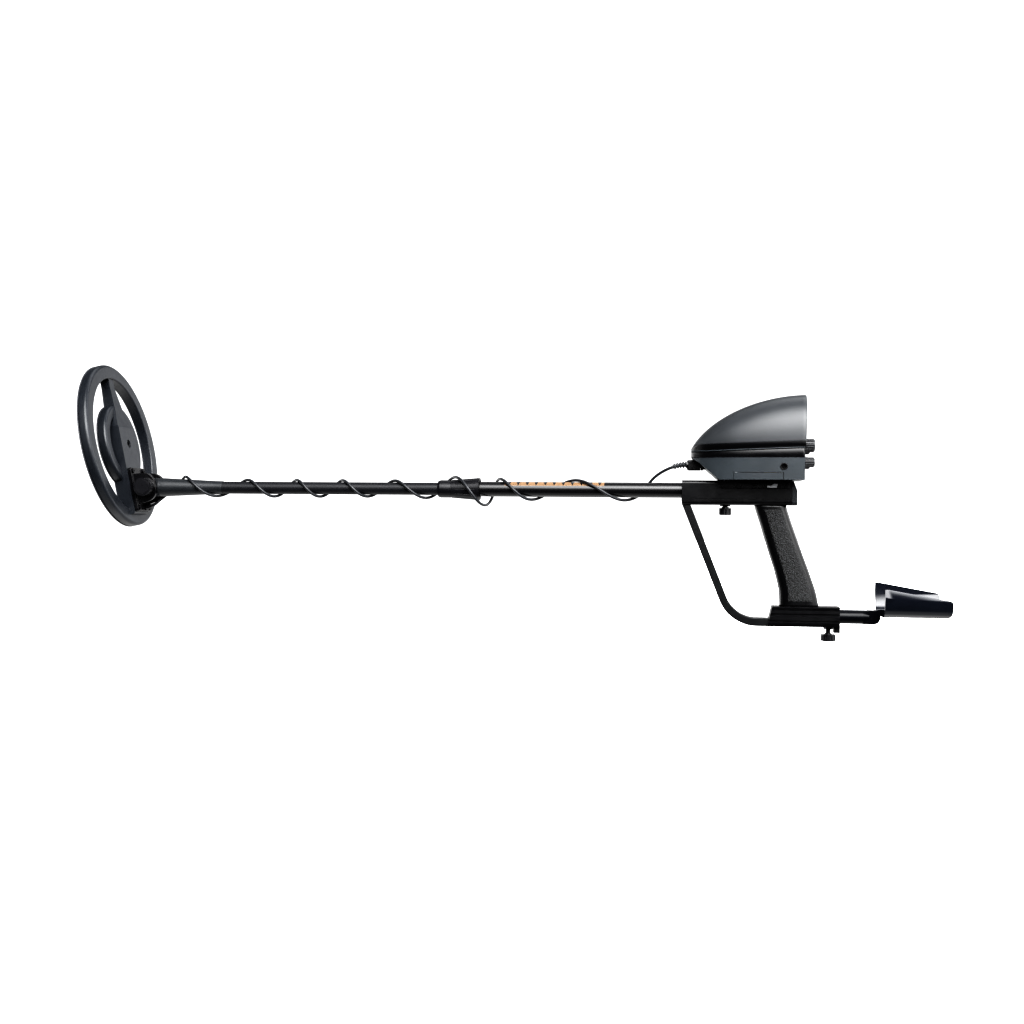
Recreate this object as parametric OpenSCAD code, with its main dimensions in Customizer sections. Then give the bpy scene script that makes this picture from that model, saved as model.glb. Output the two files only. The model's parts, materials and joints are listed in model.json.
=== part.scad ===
// Metal detector: a search coil on a telescopic stem, a pistol grip with a guard strap,
// a control box with a meter, and a sliding arm rest. Millimetres.
// +X runs from the coil to the user, +Z is up, and the origin is the middle of the hand grip.

/* [Search coil] */
// Outer radius of the coil's ring
coil_r = 108; // [104:1:110]
// Radial width of the ring
coil_ring_w = 19; // [17:0.5:20]
// Thickness of the coil, cover included
coil_t = 14; // [14:0.5:16]
// Outer radius of the inner winding's ring
hub_r = 54; // [50:1:56]
// Angle between the coil's plane and the stem, at rest
coil_angle = 78.2; // [60:0.1:90]
// Width of the bar across the middle
bar_w = 48; // [44:1:50]

/* [Stem] */
// Outer diameter of the upper tube
upper_d = 19.05; // [18.8:0.05:19.1]
// Outer diameter of the lower tube
lower_d = 15.9; // [15.6:0.1:15.9]
// Wall of both tubes
tube_wall = 1.2; // [1:0.05:1.2]
// Height of the stem's axis above the middle of the grip
stem_z = 80; // [79:0.5:81]
// Place of the coil's pivot along the stem
pivot_x = -823; // [-826:0.5:-822]
// End of the upper tube, inside the lock collar
upper_end_x = -426; // [-427:0.5:-425]

/* [Handle] */
// Width of the top housing
housing_w = 34; // [32:1:36]
// Width of the guard strap
strap_w = 26; // [24:1:28]
// Thickness of the guard strap
strap_t = 9.6; // [9:0.2:10]
// Width of the hand grip
grip_w = 30; // [28:1:32]
// Diameter of the arm rest's rod
rod_d = 17.4; // [17:0.1:17.5]

/* [Control box] */
// Half of the hood's greatest width
hood_w = 52; // [48:1:54]
// Height where the hood meets the lower case
seam_z = 128; // [127:0.5:129]
// Thickness of the case's walls
case_wall = 2.4; // [2:0.1:2.6]
// Diameter of the two upper knobs
knob_upper_d = 16.5; // [14:0.5:22]
// Diameter of the two lower knobs
knob_lower_d = 12.5; // [11:0.5:16]

/* [Arm rest] */
// Half of the cuff's width at its lips
cuff_w = 50; // [46:1:52]
// Thickness of the cuff's shell
cuff_t = 3; // [2.6:0.1:3.4]

/* [Cable] */
// Diameter of the coil's cable
cable_d = 3.6; // [3.2:0.1:3.8]

/* [Hidden] */

$fn = 48;
// Radial clearance of a running fit, and the gap between faces that only pass each other
run_gap = 0.06;
far_gap = 0.35;
// Overshoot of a cutting shape past the face it opens
over = 1;

// ---- Points and curves -------------------------------------------------------------

function unit(v) = v / norm(v);
// Points on an arc about c, from angle a to angle b in n steps
function arc(c, r, a, b, n) = [for (i = [0:n]) c + r * [cos(a + (b - a) * i / n), sin(a + (b - a) * i / n)]];
// A rectangle of half width w and half height h, with corners of radius r, centred on c
function round_box(c, w, h, r, n = 5) = concat(
    arc(c + [w - r, h - r], r, 0, 90, n),
    arc(c + [r - w, h - r], r, 90, 180, n),
    arc(c + [r - w, r - h], r, 180, 270, n),
    arc(c + [w - r, r - h], r, 270, 360, n));
// A corner b of the path a-b-c, rounded with radius r
function fillet(a, b, c, r, n = 8) = let (
        p = unit(a - b),
        q = unit(c - b),
        half = acos(p * q) / 2,
        m = b + unit(p + q) * r / sin(half),
        s = b + p * r / tan(half) - m,
        e = b + q * r / tan(half) - m,
        a0 = atan2(s[1], s[0]),
        turn = atan2(s[0] * e[1] - s[1] * e[0], s * e))
    arc(m, r, a0, a0 + turn, n);
// The direction of path p at its point i
function along(p, i) = unit(p[min(i + 1, len(p) - 1)] - p[max(i - 1, 0)]);
// A closed outline of width t about the flat path p
function ribbon(p, t) = let (side = [for (i = [0:len(p) - 1]) let (d = along(p, i)) [-d[1], d[0]] * t / 2])
    concat([for (i = [0:len(p) - 1]) p[i] + side[i]], [for (i = [len(p) - 1:-1:0]) p[i] - side[i]]);
// A value between b and c on a smooth curve through a, b, c and d
function smooth(a, b, c, d, t) = 0.5 * (2 * b + (c - a) * t + (2 * a - 5 * b + 4 * c - d) * t * t
    + (3 * b - 3 * c + d - a) * t * t * t);

// ---- Solids from outlines ----------------------------------------------------------

// A solid through a list of rings, each with the same number of points, turning
// anticlockwise as seen from the last ring
module skin(rings) {
    n = len(rings);
    m = len(rings[0]);
    sides = [for (i = [0:n - 2], k = [0:m - 1]) let (a = i * m + k, b = i * m + (k + 1) % m)
        each [[a, a + m, b + m], [a, b + m, b]]];
    first_cap = [for (k = [0:m - 1]) k];
    last_cap = [for (k = [m - 1:-1:0]) (n - 1) * m + k];
    polyhedron(points = [for (r = rings) each r], faces = concat([first_cap], sides, [last_cap]));
}

// A round cord of radius r along the points p
module cord(p, r, sides = 8) {
    n = len(p);
    start = abs(along(p, 0)[2]) < 0.9 ? [0, 0, 1] : [1, 0, 0];
    ups = [for (i = 0, u = unit(start - (start * along(p, 0)) * along(p, 0));
        i < n;
        i = i + 1, u = unit(u - (u * along(p, min(i, n - 1))) * along(p, min(i, n - 1)))) u];
    skin([for (i = [0:n - 1]) let (t = along(p, i), u = ups[i], v = cross(t, u))
        [for (k = [0:sides - 1]) p[i] + r * (cos(360 * k / sides) * u + sin(360 * k / sides) * v)]]);
}

// An outline in X and Z, w thick across Y about y
module side_plate(outline, w, y = 0) {
    translate([0, y, 0]) rotate([90, 0, 0]) linear_extrude(height = w, center = true) polygon(outline);
}

// An outline in Y and Z, from x0 to x1
module cross_bar(outline, x0, x1) {
    translate([x0, 0, 0]) rotate([90, 0, 90]) linear_extrude(height = x1 - x0) polygon(outline);
}

// A cylinder along X, from x0 to x1, at height z
module x_rod(x0, x1, r, z = 0, y = 0) {
    translate([x0, y, z]) rotate([0, 90, 0]) cylinder(h = x1 - x0, r = r);
}

// A cylinder along Y, from y0 to y1
module y_rod(y0, y1, r, x = 0, z = 0) {
    translate([x, y0, z]) rotate([-90, 0, 0]) cylinder(h = y1 - y0, r = r);
}

// A cylinder along Z, from z0 to z1
module z_rod(z0, z1, r, x = 0, y = 0) {
    translate([x, y, z0]) cylinder(h = z1 - z0, r = r);
}

// A box from corner a to corner b
module box(a, b) {
    translate(a) cube(b - a);
}

// A solid of revolution about the stem, from points that give X and radius
module turned(outline) {
    translate([0, 0, stem_z]) rotate([0, 90, 0]) rotate_extrude() polygon([for (p = outline) [p[1], p[0]]]);
}

// Both sides of the XZ plane
module both_sides() {
    children();
    mirror([0, 1, 0]) children();
}

// ---- Search coil -------------------------------------------------------------------
// The coil has a frame of its own: origin on the pivot, +Z out of its upper face.

coil_c = -62.5;
coil_top = -25;
coil_bottom = coil_top - coil_t;
cover_t = 1.5;
shell_bottom = coil_bottom + cover_t;
ring_in = coil_r - coil_ring_w;
hub_in = hub_r - 14;
bar_rise = 6;
bracket_half = 29;
bracket_base = coil_top + bar_rise;
plate_h = 4.5;
ear_in = 13;
ear_out = 19;
ear_half = 19;
ear_end = 12.6;
ear_round = 15;
gland_place = [23.5, 5.5];
bolt_r = 4;

module coil_frame() {
    translate([pivot_x, 0, stem_z]) rotate([0, coil_angle, 0]) children();
}

module ring_section(r0, r1, z0, z1, edge) {
    rotate_extrude() polygon(concat(
        [[r0, z0], [r1 - edge / 2, z0]],
        arc([r1 - edge / 2, z0 + edge / 2], edge / 2, -90, 0, 3),
        arc([r1 - edge, z1 - edge], edge, 0, 90, 6),
        arc([r0 + edge / 2, z1 - edge / 2], edge / 2, 90, 180, 3)));
}

// Half of the bar's outline seen from above, from the front rim to the rear rim
bar_edge = [[-ring_in - 6, 7], [-76, 7.5], [-47, 12.5], [-24, bar_w / 2], [ring_in + 6, bar_w / 2]];

module bar_plan(z0, z1) {
    translate([0, 0, z0]) linear_extrude(height = z1 - z0)
        polygon(concat(bar_edge, [for (i = [len(bar_edge) - 1:-1:0]) [bar_edge[i][0], -bar_edge[i][1]]]));
}

// The bar's top, seen from the side: it climbs from the front rim to the hub, and runs level
// under the bracket to the rear rim
module bar_profile() {
    rear = ring_in + 5;
    side_plate(concat(
        [[-ring_in - 8, shell_bottom], [-ring_in - 8, coil_top - 2], [-78, coil_top - 2]],
        [[-47, coil_top + 1.3]],
        arc([-20, coil_top + bar_rise - 12], 12, 110, 90, 4),
        arc([rear - 3, coil_top + bar_rise - 3], 3, 90, 0, 4),
        [[rear, shell_bottom]]), 2 * coil_r);
}

module coil_shell() {
    color([0.13, 0.14, 0.15]) coil_frame() difference() {
        translate([coil_c, 0, 0]) difference() {
            union() {
                ring_section(ring_in, coil_r, shell_bottom, coil_top, 4.5);
                ring_section(hub_in, hub_r, shell_bottom, coil_top - 0.5, 4);
                intersection() {
                    bar_plan(shell_bottom, coil_top + bar_rise);
                    bar_profile();
                }
            }
            // Grooves for the two windings, open below
            difference() {
                z_rod(shell_bottom - over, coil_top - 3, coil_r - 3);
                z_rod(shell_bottom - 2 * over, coil_top, ring_in + 3);
            }
            difference() {
                z_rod(shell_bottom - over, coil_top - 3, hub_r - 3);
                z_rod(shell_bottom - 2 * over, coil_top, hub_in + 3);
            }
            // Seat of the hub's plug
            z_rod(coil_top - 3, coil_top + 2 * bar_rise, 5.4);
            z_rod(shell_bottom + 2, coil_top, 2.1);
        }
        bracket_screw_places() z_rod(bracket_base - 12, bracket_base + over, 1.65);
        translate(gland_place) z_rod(bracket_base - 10, bracket_base + over, 2.6);
    }
}

module coil_cover() {
    color([0.1, 0.1, 0.11]) coil_frame() translate([coil_c, 0, 0]) union() {
        ring_section(ring_in, coil_r, coil_bottom, shell_bottom, 0.8);
        ring_section(hub_in, hub_r, coil_bottom, shell_bottom, 0.8);
        intersection() {
            bar_plan(coil_bottom, shell_bottom);
            z_rod(coil_bottom - over, shell_bottom + over, coil_r - 1);
        }
    }
}

module winding(r, bundle_r) {
    coil_frame() translate([coil_c, 0, shell_bottom + bundle_r + 0.3])
        rotate_extrude() translate([r, 0]) circle(r = bundle_r);
}

module outer_winding() {
    color([0.6, 0.3, 0.14]) winding(coil_r - coil_ring_w / 2, 2.6);
}

module inner_winding() {
    color([0.6, 0.3, 0.14]) winding(hub_r - 7, 2.2);
}

module bracket_screw_places() {
    for (x = [-24.5, 24.5], y = [-17.5, 17.5]) translate([x, y, 0]) children();
}

module coil_bracket() {
    ear = concat(
        [[ear_half + 1.5, bracket_base + plate_h - 0.5]],
        arc([ear_half - ear_round, ear_end - ear_round], ear_round, 0, 90, 7),
        arc([ear_round - ear_half, ear_end - ear_round], ear_round, 90, 180, 7),
        [[-ear_half - 1.5, bracket_base + plate_h - 0.5]]);
    color([0.03, 0.03, 0.035]) coil_frame() difference() {
        union() {
            translate([0, 0, bracket_base]) linear_extrude(height = plate_h)
                polygon(round_box([0, 0], bracket_half, 22, 3));
            both_sides() {
                side_plate(ear, ear_out - ear_in, (ear_in + ear_out) / 2);
                // Rib along the ear's foot, and a boss round the bolt
                side_plate([[-ear_half - 2, bracket_base + 1], [ear_half + 2, bracket_base + 1],
                    [ear_half, bracket_base + 9], [-ear_half, bracket_base + 9]], 2.4, ear_out - 1.2);
                y_rod(ear_out - over, ear_out + 1.2, 11.6);
            }
        }
        y_rod(-2 * ear_out, 2 * ear_out, bolt_r + run_gap);
        bracket_screw_places() z_rod(bracket_base - over, bracket_base + plate_h + over, 1.75);
        translate(gland_place) z_rod(bracket_base - over, bracket_base + plate_h + over, 2.6);
    }
}

module bracket_screws() {
    head_z = bracket_base + plate_h + 0.05;
    color([0.05, 0.05, 0.055]) coil_frame() bracket_screw_places() difference() {
        union() {
            z_rod(bracket_base - 11, head_z + 0.1, 1.6);
            z_rod(head_z, head_z + 2.2, 3.2);
        }
        for (a = [0, 90]) rotate([0, 0, a]) box([-2, -0.4, head_z + 1], [2, 0.4, head_z + 3]);
    }
}

module hub_screw() {
    plug_top = coil_top + bar_rise - 1.2;
    color([0.015, 0.015, 0.02]) coil_frame() translate([coil_c, 0, 0]) difference() {
        union() {
            z_rod(coil_top - 2.9, plug_top, 5.25);
            z_rod(shell_bottom + 3, coil_top - 2, 2);
        }
        translate([0, 0, plug_top - 2.4]) cylinder(h = 4, r = 2.9, $fn = 6);
    }
}

module cable_gland() {
    foot = bracket_base + plate_h + 0.05;
    color([0.04, 0.04, 0.045]) coil_frame() translate(gland_place) union() {
        z_rod(bracket_base - 9, foot + 1, 2.5);
        translate([0, 0, foot]) cylinder(h = 2.6, r = 4.4, $fn = 6);
        translate([0, 0, foot + 2.5]) cylinder(h = 4.5, r1 = 3.7, r2 = 2.6);
    }
}

// ---- Pivot and lower stem ----------------------------------------------------------

tongue_w = 20;
washer_t = 2.7;

module pivot_frame() {
    translate([pivot_x, 0, stem_z]) children();
}

module pivot_bolt() {
    color([0.12, 0.12, 0.13]) pivot_frame() union() {
        y_rod(-29, ear_out + 1.5, bolt_r);
        translate([0, ear_out + 1.3, 0]) rotate([-90, 0, 0]) cylinder(h = 4.5, r = 7.4, $fn = 6);
    }
}

module pivot_nut() {
    grips = 10;
    near = -ear_out - 1.2 - 0.1;
    color([0.03, 0.03, 0.035]) pivot_frame() difference() {
        union() {
            y_rod(near - 3, near, 10.4);
            y_rod(near - 12, near - 3, 11.8);
            y_rod(near - 13.2, near - 12, 9.2);
        }
        y_rod(-30.5, near + over, bolt_r + run_gap);
        for (i = [0:grips - 1]) rotate([0, 360 * i / grips, 0]) y_rod(near - 14, near - 4.5, 1.3, 12.5);
    }
}

module pivot_washers() {
    color([0.05, 0.05, 0.05]) pivot_frame() both_sides() difference() {
        y_rod(tongue_w / 2, tongue_w / 2 + washer_t, 11);
        y_rod(0, ear_out, bolt_r + run_gap);
    }
}

module stem_tip() {
    color([0.04, 0.04, 0.045]) difference() {
        union() {
            pivot_frame() y_rod(-tongue_w / 2, tongue_w / 2, 12);
            box([pivot_x, -tongue_w / 2, stem_z - 12], [pivot_x + 13, tongue_w / 2, stem_z + 12]);
            turned([[pivot_x + 12, 0], [pivot_x + 12, 11.6], [pivot_x + 12.5, 12.1], [pivot_x + 20, 12],
                [pivot_x + 88, 8.7], [pivot_x + 98, 8.5], [pivot_x + 98, 0]]);
        }
        pivot_frame() y_rod(-tongue_w, tongue_w, bolt_r + run_gap);
        x_rod(pivot_x + 22, pivot_x + 100, lower_d / 2 + 0.05, stem_z);
    }
}

module lower_tube() {
    color([0.07, 0.07, 0.075]) difference() {
        x_rod(pivot_x + 22.5, -300, lower_d / 2, stem_z);
        x_rod(pivot_x + 20, -299, lower_d / 2 - tube_wall, stem_z);
    }
}

// ---- Upper stem --------------------------------------------------------------------

housing_x = [-127.5, 10];
tube_rear_x = 2;
collar_x = [-438.5, -421.5, -384.6];

module upper_tube() {
    color([0.03, 0.03, 0.035]) difference() {
        x_rod(upper_end_x, tube_rear_x, upper_d / 2, stem_z);
        x_rod(upper_end_x - over, tube_rear_x + over, upper_d / 2 - tube_wall, stem_z);
    }
}

// A slit ring at the tube's end, which the collar closes on the lower tube
module collet() {
    slits = 4;
    color([0.75, 0.74, 0.7]) difference() {
        x_rod(collar_x[0] + 2.2, upper_end_x - 0.05, 9.8, stem_z);
        x_rod(collar_x[0], upper_end_x + over, lower_d / 2 + run_gap, stem_z);
        translate([0, 0, stem_z]) for (i = [0:slits - 1]) rotate([45 + 360 * i / slits, 0, 0])
            box([collar_x[0] + 1, 5, -0.5], [upper_end_x - 3, 12, 0.5]);
    }
}

module lock_collar() {
    grips = 12;
    lip = lower_d / 2 + far_gap;
    color([0.035, 0.035, 0.04]) difference() {
        turned(concat(
            [[collar_x[0], lip], [collar_x[0], 10], [collar_x[0] + 3, 11.25], [collar_x[1] - 0.6, 11.25],
                [collar_x[1] - 0.4, 10.9], [collar_x[1] + 0.4, 10.9], [collar_x[1] + 0.6, 11.5]],
            [[collar_x[2] - 1.4, 14.3], [collar_x[2], 14.5], [collar_x[2], 13], [collar_x[2] - 2, 12.2],
                [collar_x[2] - 2, upper_d / 2 + run_gap]],
            [[upper_end_x + 0.1, upper_d / 2 + run_gap], [upper_end_x + 0.1, 9.8 + run_gap],
                [collar_x[0] + 2, 9.8 + run_gap], [collar_x[0] + 2, lip]]));
        translate([0, 0, stem_z]) for (i = [0:grips - 1]) rotate([360 * i / grips, 0, 0])
            translate([collar_x[1], 0, 11.9]) rotate([0, -4.3, 0]) x_rod(6, 32, 0.8);
    }
}

// ---- Cable -------------------------------------------------------------------------
// Stations of the winding, half a turn apart, as place along the stem and radius from its
// axis. The first is under the stem, and the cable climbs behind it.

wraps = [[-803, 14.6], [-776, 14], [-733, 11], [-692, 10.3], [-656, 11], [-626, 10.3], [-595, 10.8],
    [-565, 10.3], [-532, 10.3], [-496, 10.3], [-456, 11.6], [-418, 15], [-378, 20.5], [-358, 13],
    [-318, 13], [-262, 11.9], [-200, 13], [-152, 13]];
wrap_steps = 10;
// The half turns at which the winding begins, at which one piece of the cable ends and the
// next begins, and at which the cable leaves the stem
wrap_start = 0.5;
wrap_gap = 0.008;
wrap_split = 1;
wrap_collar = 10;
wrap_end = 16.4;

// The point of the winding after s half turns
function wrap_point(s) = let (
        i = min(floor(s), len(wraps) - 2),
        t = s - i,
        a = wraps[max(i - 1, 0)],
        b = wraps[i],
        c = wraps[i + 1],
        d = wraps[min(i + 2, len(wraps) - 1)],
        x = smooth(a[0], b[0], c[0], d[0], t),
        r = smooth(a[1], b[1], c[1], d[1], t),
        turn = 180 * s)
    [x, r * sin(turn), stem_z - r * cos(turn)];
function winding_path(s0, s1) = let (n = ceil((s1 - s0) * wrap_steps))
    [for (k = [0:n]) wrap_point(s0 + (s1 - s0) * k / n)];

// From the gland to the first station, and from the last one to the plug's boot
coil_end_path = [[-824.9, 5.5, 55.5], [-822.4, 5.6, 56.2], [-819.4, 6.4, 58.3], [-816.4, 7.8, 61.4],
    [-813.6, 9.4, 64.2], [-811.2, 11, 66.5], [-808.6, 12.9, 69], [-805, 14.5, 71.8], [-800, 15.2, 74.9],
    [-795, 15, 77.7]];
box_end_path = [[-172, 12.8, 83.5], [-169.6, 11.8, 87.6], [-166.6, 10.2, 91.8], [-162.8, 8.2, 95.8],
    [-158.4, 6, 99.4], [-153.4, 3.9, 102.7], [-148.4, 2, 105.4], [-144.2, 0.8, 107.3], [-140.4, 0, 108.75]];

module lead_coil() {
    color([0.05, 0.05, 0.055])
        cord(concat(coil_end_path, winding_path(wrap_start, wrap_split - wrap_gap)), cable_d / 2);
}

module lead_lower() {
    color([0.05, 0.05, 0.055]) cord(winding_path(wrap_split, wrap_collar - wrap_gap), cable_d / 2);
}

module lead_upper() {
    color([0.05, 0.05, 0.055]) cord(concat(winding_path(wrap_collar, wrap_end), box_end_path), cable_d / 2);
}

// ---- Handle ------------------------------------------------------------------------

housing_z = [61.9, 92.4];
housing_low_z = [-88.4, -63.5];
housing_low_x = [-21.5, 67];
rod_z = -75.9;
screw_front_x = -73.6;
screw_rear_x = 54.2;
screw_r = 3;
strap_top_z = 76;
strap_bottom_z = -83.6;
plate_z = 90.4;
plate_x = [-84, 6];

// The strap's middle line, from its top end to its rear end
strap_corners = [[-123.3, strap_top_z], [-123.3, 65.5], [-64.5, strap_bottom_z], [-9.5, strap_bottom_z]];
strap_path = concat(
    [strap_corners[0]],
    fillet(strap_corners[0], strap_corners[1], strap_corners[2], 14, 4),
    fillet(strap_corners[1], strap_corners[2], strap_corners[3], 45, 12),
    [strap_corners[3]]);

module top_housing() {
    section = round_box([0, (housing_z[0] + housing_z[1]) / 2], housing_w / 2,
        (housing_z[1] - housing_z[0]) / 2, 4);
    color([0.04, 0.04, 0.045]) difference() {
        cross_bar(section, housing_x[0], housing_x[1] - 2);
        x_rod(housing_x[0] - over, housing_x[1] + over, upper_d / 2 + run_gap, stem_z);
        // Seat of the box's mounting plate
        box([plate_x[0] - 0.3, -30, plate_z - 0.05], [plate_x[1] + 0.3, 30, 100]);
        // Notch for the strap's end
        box([housing_x[0] - over, -strap_w / 2 - 0.1, 50],
            [housing_x[0] + strap_t + 2.4, strap_w / 2 + 0.1, strap_top_z + 0.1]);
        z_rod(60, stem_z - 5, 5.05, screw_front_x);
        for (y = [-8.5, 8.5]) x_rod(-125, -108, 1.55, 68.4, y);
        // Grooves along both flanks
        both_sides() box([housing_x[0] + 16, housing_w / 2 - 0.8, 68.4], [plate_x[1] + 4, 30, 69.6]);
    }
}

// The housing's rear end, with a sloping upper edge
module housing_cap() {
    x = housing_x[1] - 1.9;
    color([0.05, 0.05, 0.055]) union() {
        intersection() {
            cross_bar(round_box([0, (housing_z[0] + housing_z[1]) / 2], housing_w / 2,
                (housing_z[1] - housing_z[0]) / 2, 4), x, x + 6);
            side_plate([[x, 60], [x + 6, 60], [x + 6, 80], [x + 1.4, plate_z + 2], [x, plate_z + 2]], 60);
        }
        x_rod(tube_rear_x + 2.2, x + over, upper_d / 2 - 0.2, stem_z);
    }
}

module guard_strap() {
    color([0.04, 0.04, 0.045]) difference() {
        side_plate(ribbon(strap_path, strap_t), strap_w);
        x_rod(-140, -110, upper_d / 2 + far_gap, stem_z);
        for (y = [-8.5, 8.5]) {
            x_rod(-130, -118, 1.6, 68.4, y);
            x_rod(-130, -125.4, 3, 68.4, y);
            z_rod(-90, -75, 1.6, -15, y * 0.75);
            z_rod(-90, -85.2, 3, -15, y * 0.75);
        }
    }
}

module strap_screws() {
    color([0.08, 0.08, 0.085]) for (y = [-8.5, 8.5]) {
        difference() {
            union() {
                x_rod(-125.5, -109, 1.5, 68.4, y);
                x_rod(-127.2, -125.42, 2.9, 68.4, y);
            }
            for (a = [0, 90]) translate([0, y, 68.4]) rotate([a, 0, 0])
                box([-128, -1.8, -0.4], [-126.2, 1.8, 0.4]);
        }
        difference() {
            union() {
                z_rod(-85.3, -72, 1.5, -15, y * 0.75);
                z_rod(-87.2, -85.3, 2.9, -15, y * 0.75);
            }
            for (a = [0, 90]) translate([-15, y * 0.75, 0]) rotate([0, 0, a])
                box([-1.8, -0.4, -88], [1.8, 0.4, -86.2]);
        }
    }
}

// Height, front edge and rear edge of the grip
grip_edges = [[61.8, -38, 1], [38, -30.2, 8.6], [8, -21.4, 19.6], [-21, -12, 30.4], [-44, -6.6, 38.4],
    [-63.4, -6, 42.4]];
pad_out = grip_w / 2 + 0.4;
pad_in = grip_w / 2 - 2.4;

// A rounded section of the grip, from its front edge to its rear edge
function grip_ring(z, front, rear) = let (c = (front + rear) / 2, h = (rear - front) / 2)
    [for (k = [0:27]) let (a = 360 * k / 28, ca = cos(a), sa = sin(a))
        [c + h * sign(ca) * pow(abs(ca), 0.7), grip_w / 2 * sign(sa) * pow(abs(sa), 0.55), z]];

// The pad's outline, grown by g all round
function pad_outline(g) = let (n = len(grip_edges) - 1, inner = [for (i = [0:n]) grip_edges[i]])
    concat(
        [for (i = [0:n]) [inner[i][1] + 9.5 - g, min(max(inner[i][0], 5 - g - 63.4), 57.5 + g)]],
        [for (i = [n:-1:0]) [inner[i][2] - 6.5 + g, min(max(inner[i][0], 5 - g - 63.4), 57.5 + g)]]);

module grip_core() {
    color([0.045, 0.045, 0.05]) difference() {
        skin([for (i = [len(grip_edges) - 1:-1:0]) let (e = grip_edges[i]) grip_ring(e[0], e[1], e[2])]);
        both_sides() side_plate(pad_outline(0.15), 8, pad_in + 3.9);
    }
}

module grip_pad(side) {
    color([0.03, 0.03, 0.03]) side_plate(pad_outline(0), pad_out - pad_in, side * (pad_in + pad_out) / 2);
}

module grip_pad_left() {
    grip_pad(-1);
}

module grip_pad_right() {
    grip_pad(1);
}

// Cross-section of the lower housing: a flat cap over flanks with three long ribs
rib_w = 15;
lower_section_half = [[0, -63.5], [16, -63.5], [16, -65.6], [rib_w - 1.6, -65.6], [rib_w - 1.6, -67.4],
    [rib_w, -68.4], [rib_w, -72.2], [rib_w - 1.6, -73.2], [rib_w - 1.6, -75.2], [rib_w, -76.2],
    [rib_w, -80.6], [rib_w - 1.6, -81.6], [rib_w - 1.6, -83], [rib_w, -84],
    [rib_w - 1, housing_low_z[0]], [0, housing_low_z[0]]];

module lower_housing() {
    half = lower_section_half;
    color([0.05, 0.05, 0.055]) difference() {
        union() {
            intersection() {
                cross_bar(concat(half, [for (i = [len(half) - 2:-1:1]) [-half[i][0], half[i][1]]]),
                    -30, housing_low_x[1]);
                side_plate([[housing_low_x[0], -90], [housing_low_x[0] + 7, -60], [80, -60], [80, -90]], 60);
            }
            // Lug under the rear end
            box([60.5, -9, -95.6], [housing_low_x[1] + 0.8, 9, -86]);
        }
        x_rod(-8, 80, rod_d / 2 + run_gap, rod_z);
        box([-40, -strap_w / 2 - 0.1, -95], [-9.3, strap_w / 2 + 0.1, strap_bottom_z + strap_t / 2 + 0.1]);
        for (y = [-8.5, 8.5]) z_rod(-90, -71, 1.55, -15, y * 0.75);
        z_rod(-100, rod_z, 5.05, screw_rear_x);
    }
}

// Threaded bushes for the two clamping screws, with hexagonal flanges
module threaded_bushes() {
    color([0.62, 0.5, 0.26]) {
        difference() {
            union() {
                z_rod(housing_z[0] - 0.1, 69.6, 5, screw_front_x);
                translate([screw_front_x, 0, 60.2]) cylinder(h = 1.6, r = 6.6, $fn = 6);
            }
            z_rod(50, 80, screw_r + run_gap, screw_front_x);
        }
        difference() {
            union() {
                z_rod(housing_low_z[0] - 0.1, -85.2, 5, screw_rear_x);
                translate([screw_rear_x, 0, -91.6]) cylinder(h = 3.1, r = 6, $fn = 6);
            }
            z_rod(-110, -80, screw_r + run_gap, screw_rear_x);
        }
    }
}

// A clamping screw with a fluted head, from its tip down to its head
module thumb_screw(tip, head_top, head_bottom, head_r, flutes) {
    color([0.03, 0.03, 0.035]) difference() {
        union() {
            z_rod(head_top - 1, tip, screw_r);
            z_rod(head_top - 0.5, head_top + 1.5, 4.6);
            z_rod(head_bottom + 1, head_top, head_r);
            translate([0, 0, head_bottom]) cylinder(h = 1.05, r1 = head_r - 1.2, r2 = head_r);
        }
        for (i = [0:flutes - 1]) rotate([0, 0, 360 * i / flutes])
            z_rod(head_bottom - 1, head_top - 1.5, 1.6, head_r + 0.7);
    }
}

module thumb_screw_front() {
    translate([screw_front_x, 0, 0]) thumb_screw(stem_z - upper_d / 2 - 0.4, 58, 49.2, 7.8, 8);
}

module thumb_screw_rear() {
    translate([screw_rear_x, 0, 0]) thumb_screw(rod_z - rod_d / 2 - 0.4, -98, -106.4, 9.5, 10);
}

// ---- Arm rest ----------------------------------------------------------------------

cuff_x = [117, 197];
cuff_floor = -74;
rod_front_x = 13;
tongue_t = 5;

// The rod's flat end, seen from the side: it climbs from the rod onto the cuff's floor
tongue_z = cuff_floor + cuff_t + 0.1;
rod_end = concat(
    [[96, rod_z + 6], [103, -67.4]],
    [[110, -67.4], [116, tongue_z + tongue_t], [176, tongue_z + tongue_t]],
    [[176, tongue_z], [116.6, tongue_z]],
    arc([108.6, -76.3], 8, 0, -90, 6),
    [[96, -84.3]]);

module arm_rod() {
    color([0.05, 0.05, 0.055]) difference() {
        union() {
            difference() {
                x_rod(rod_front_x, 103, rod_d / 2, rod_z);
                x_rod(rod_front_x - over, 95, rod_d / 2 - 1.6, rod_z);
            }
            side_plate(rod_end, 16);
        }
        for (x = [132, 162]) z_rod(-80, -60, 2.05, x);
    }
}

// Half of the cuff's middle line across, from its floor to its lip
cuff_half_path = concat(
    [[0, cuff_floor + cuff_t / 2]],
    arc([30, cuff_floor + cuff_t / 2 + 14], 14, 270, 350, 8),
    [[cuff_w - 2.4, -50], [cuff_w - 4.5, -32]]);

// The cuff's upper edge from front to rear, raised by dz
function cuff_lip(dz) = concat(
    [[cuff_x[0], -37.5 + dz], [cuff_x[0] + 3, -37 + dz]],
    arc([cuff_x[1] - 5, -54.8 + dz], 5, 78, 0, 5));

// The near wall is a little lower than the far one
lip_near = -2.1;
lip_far = 2.4;

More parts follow.
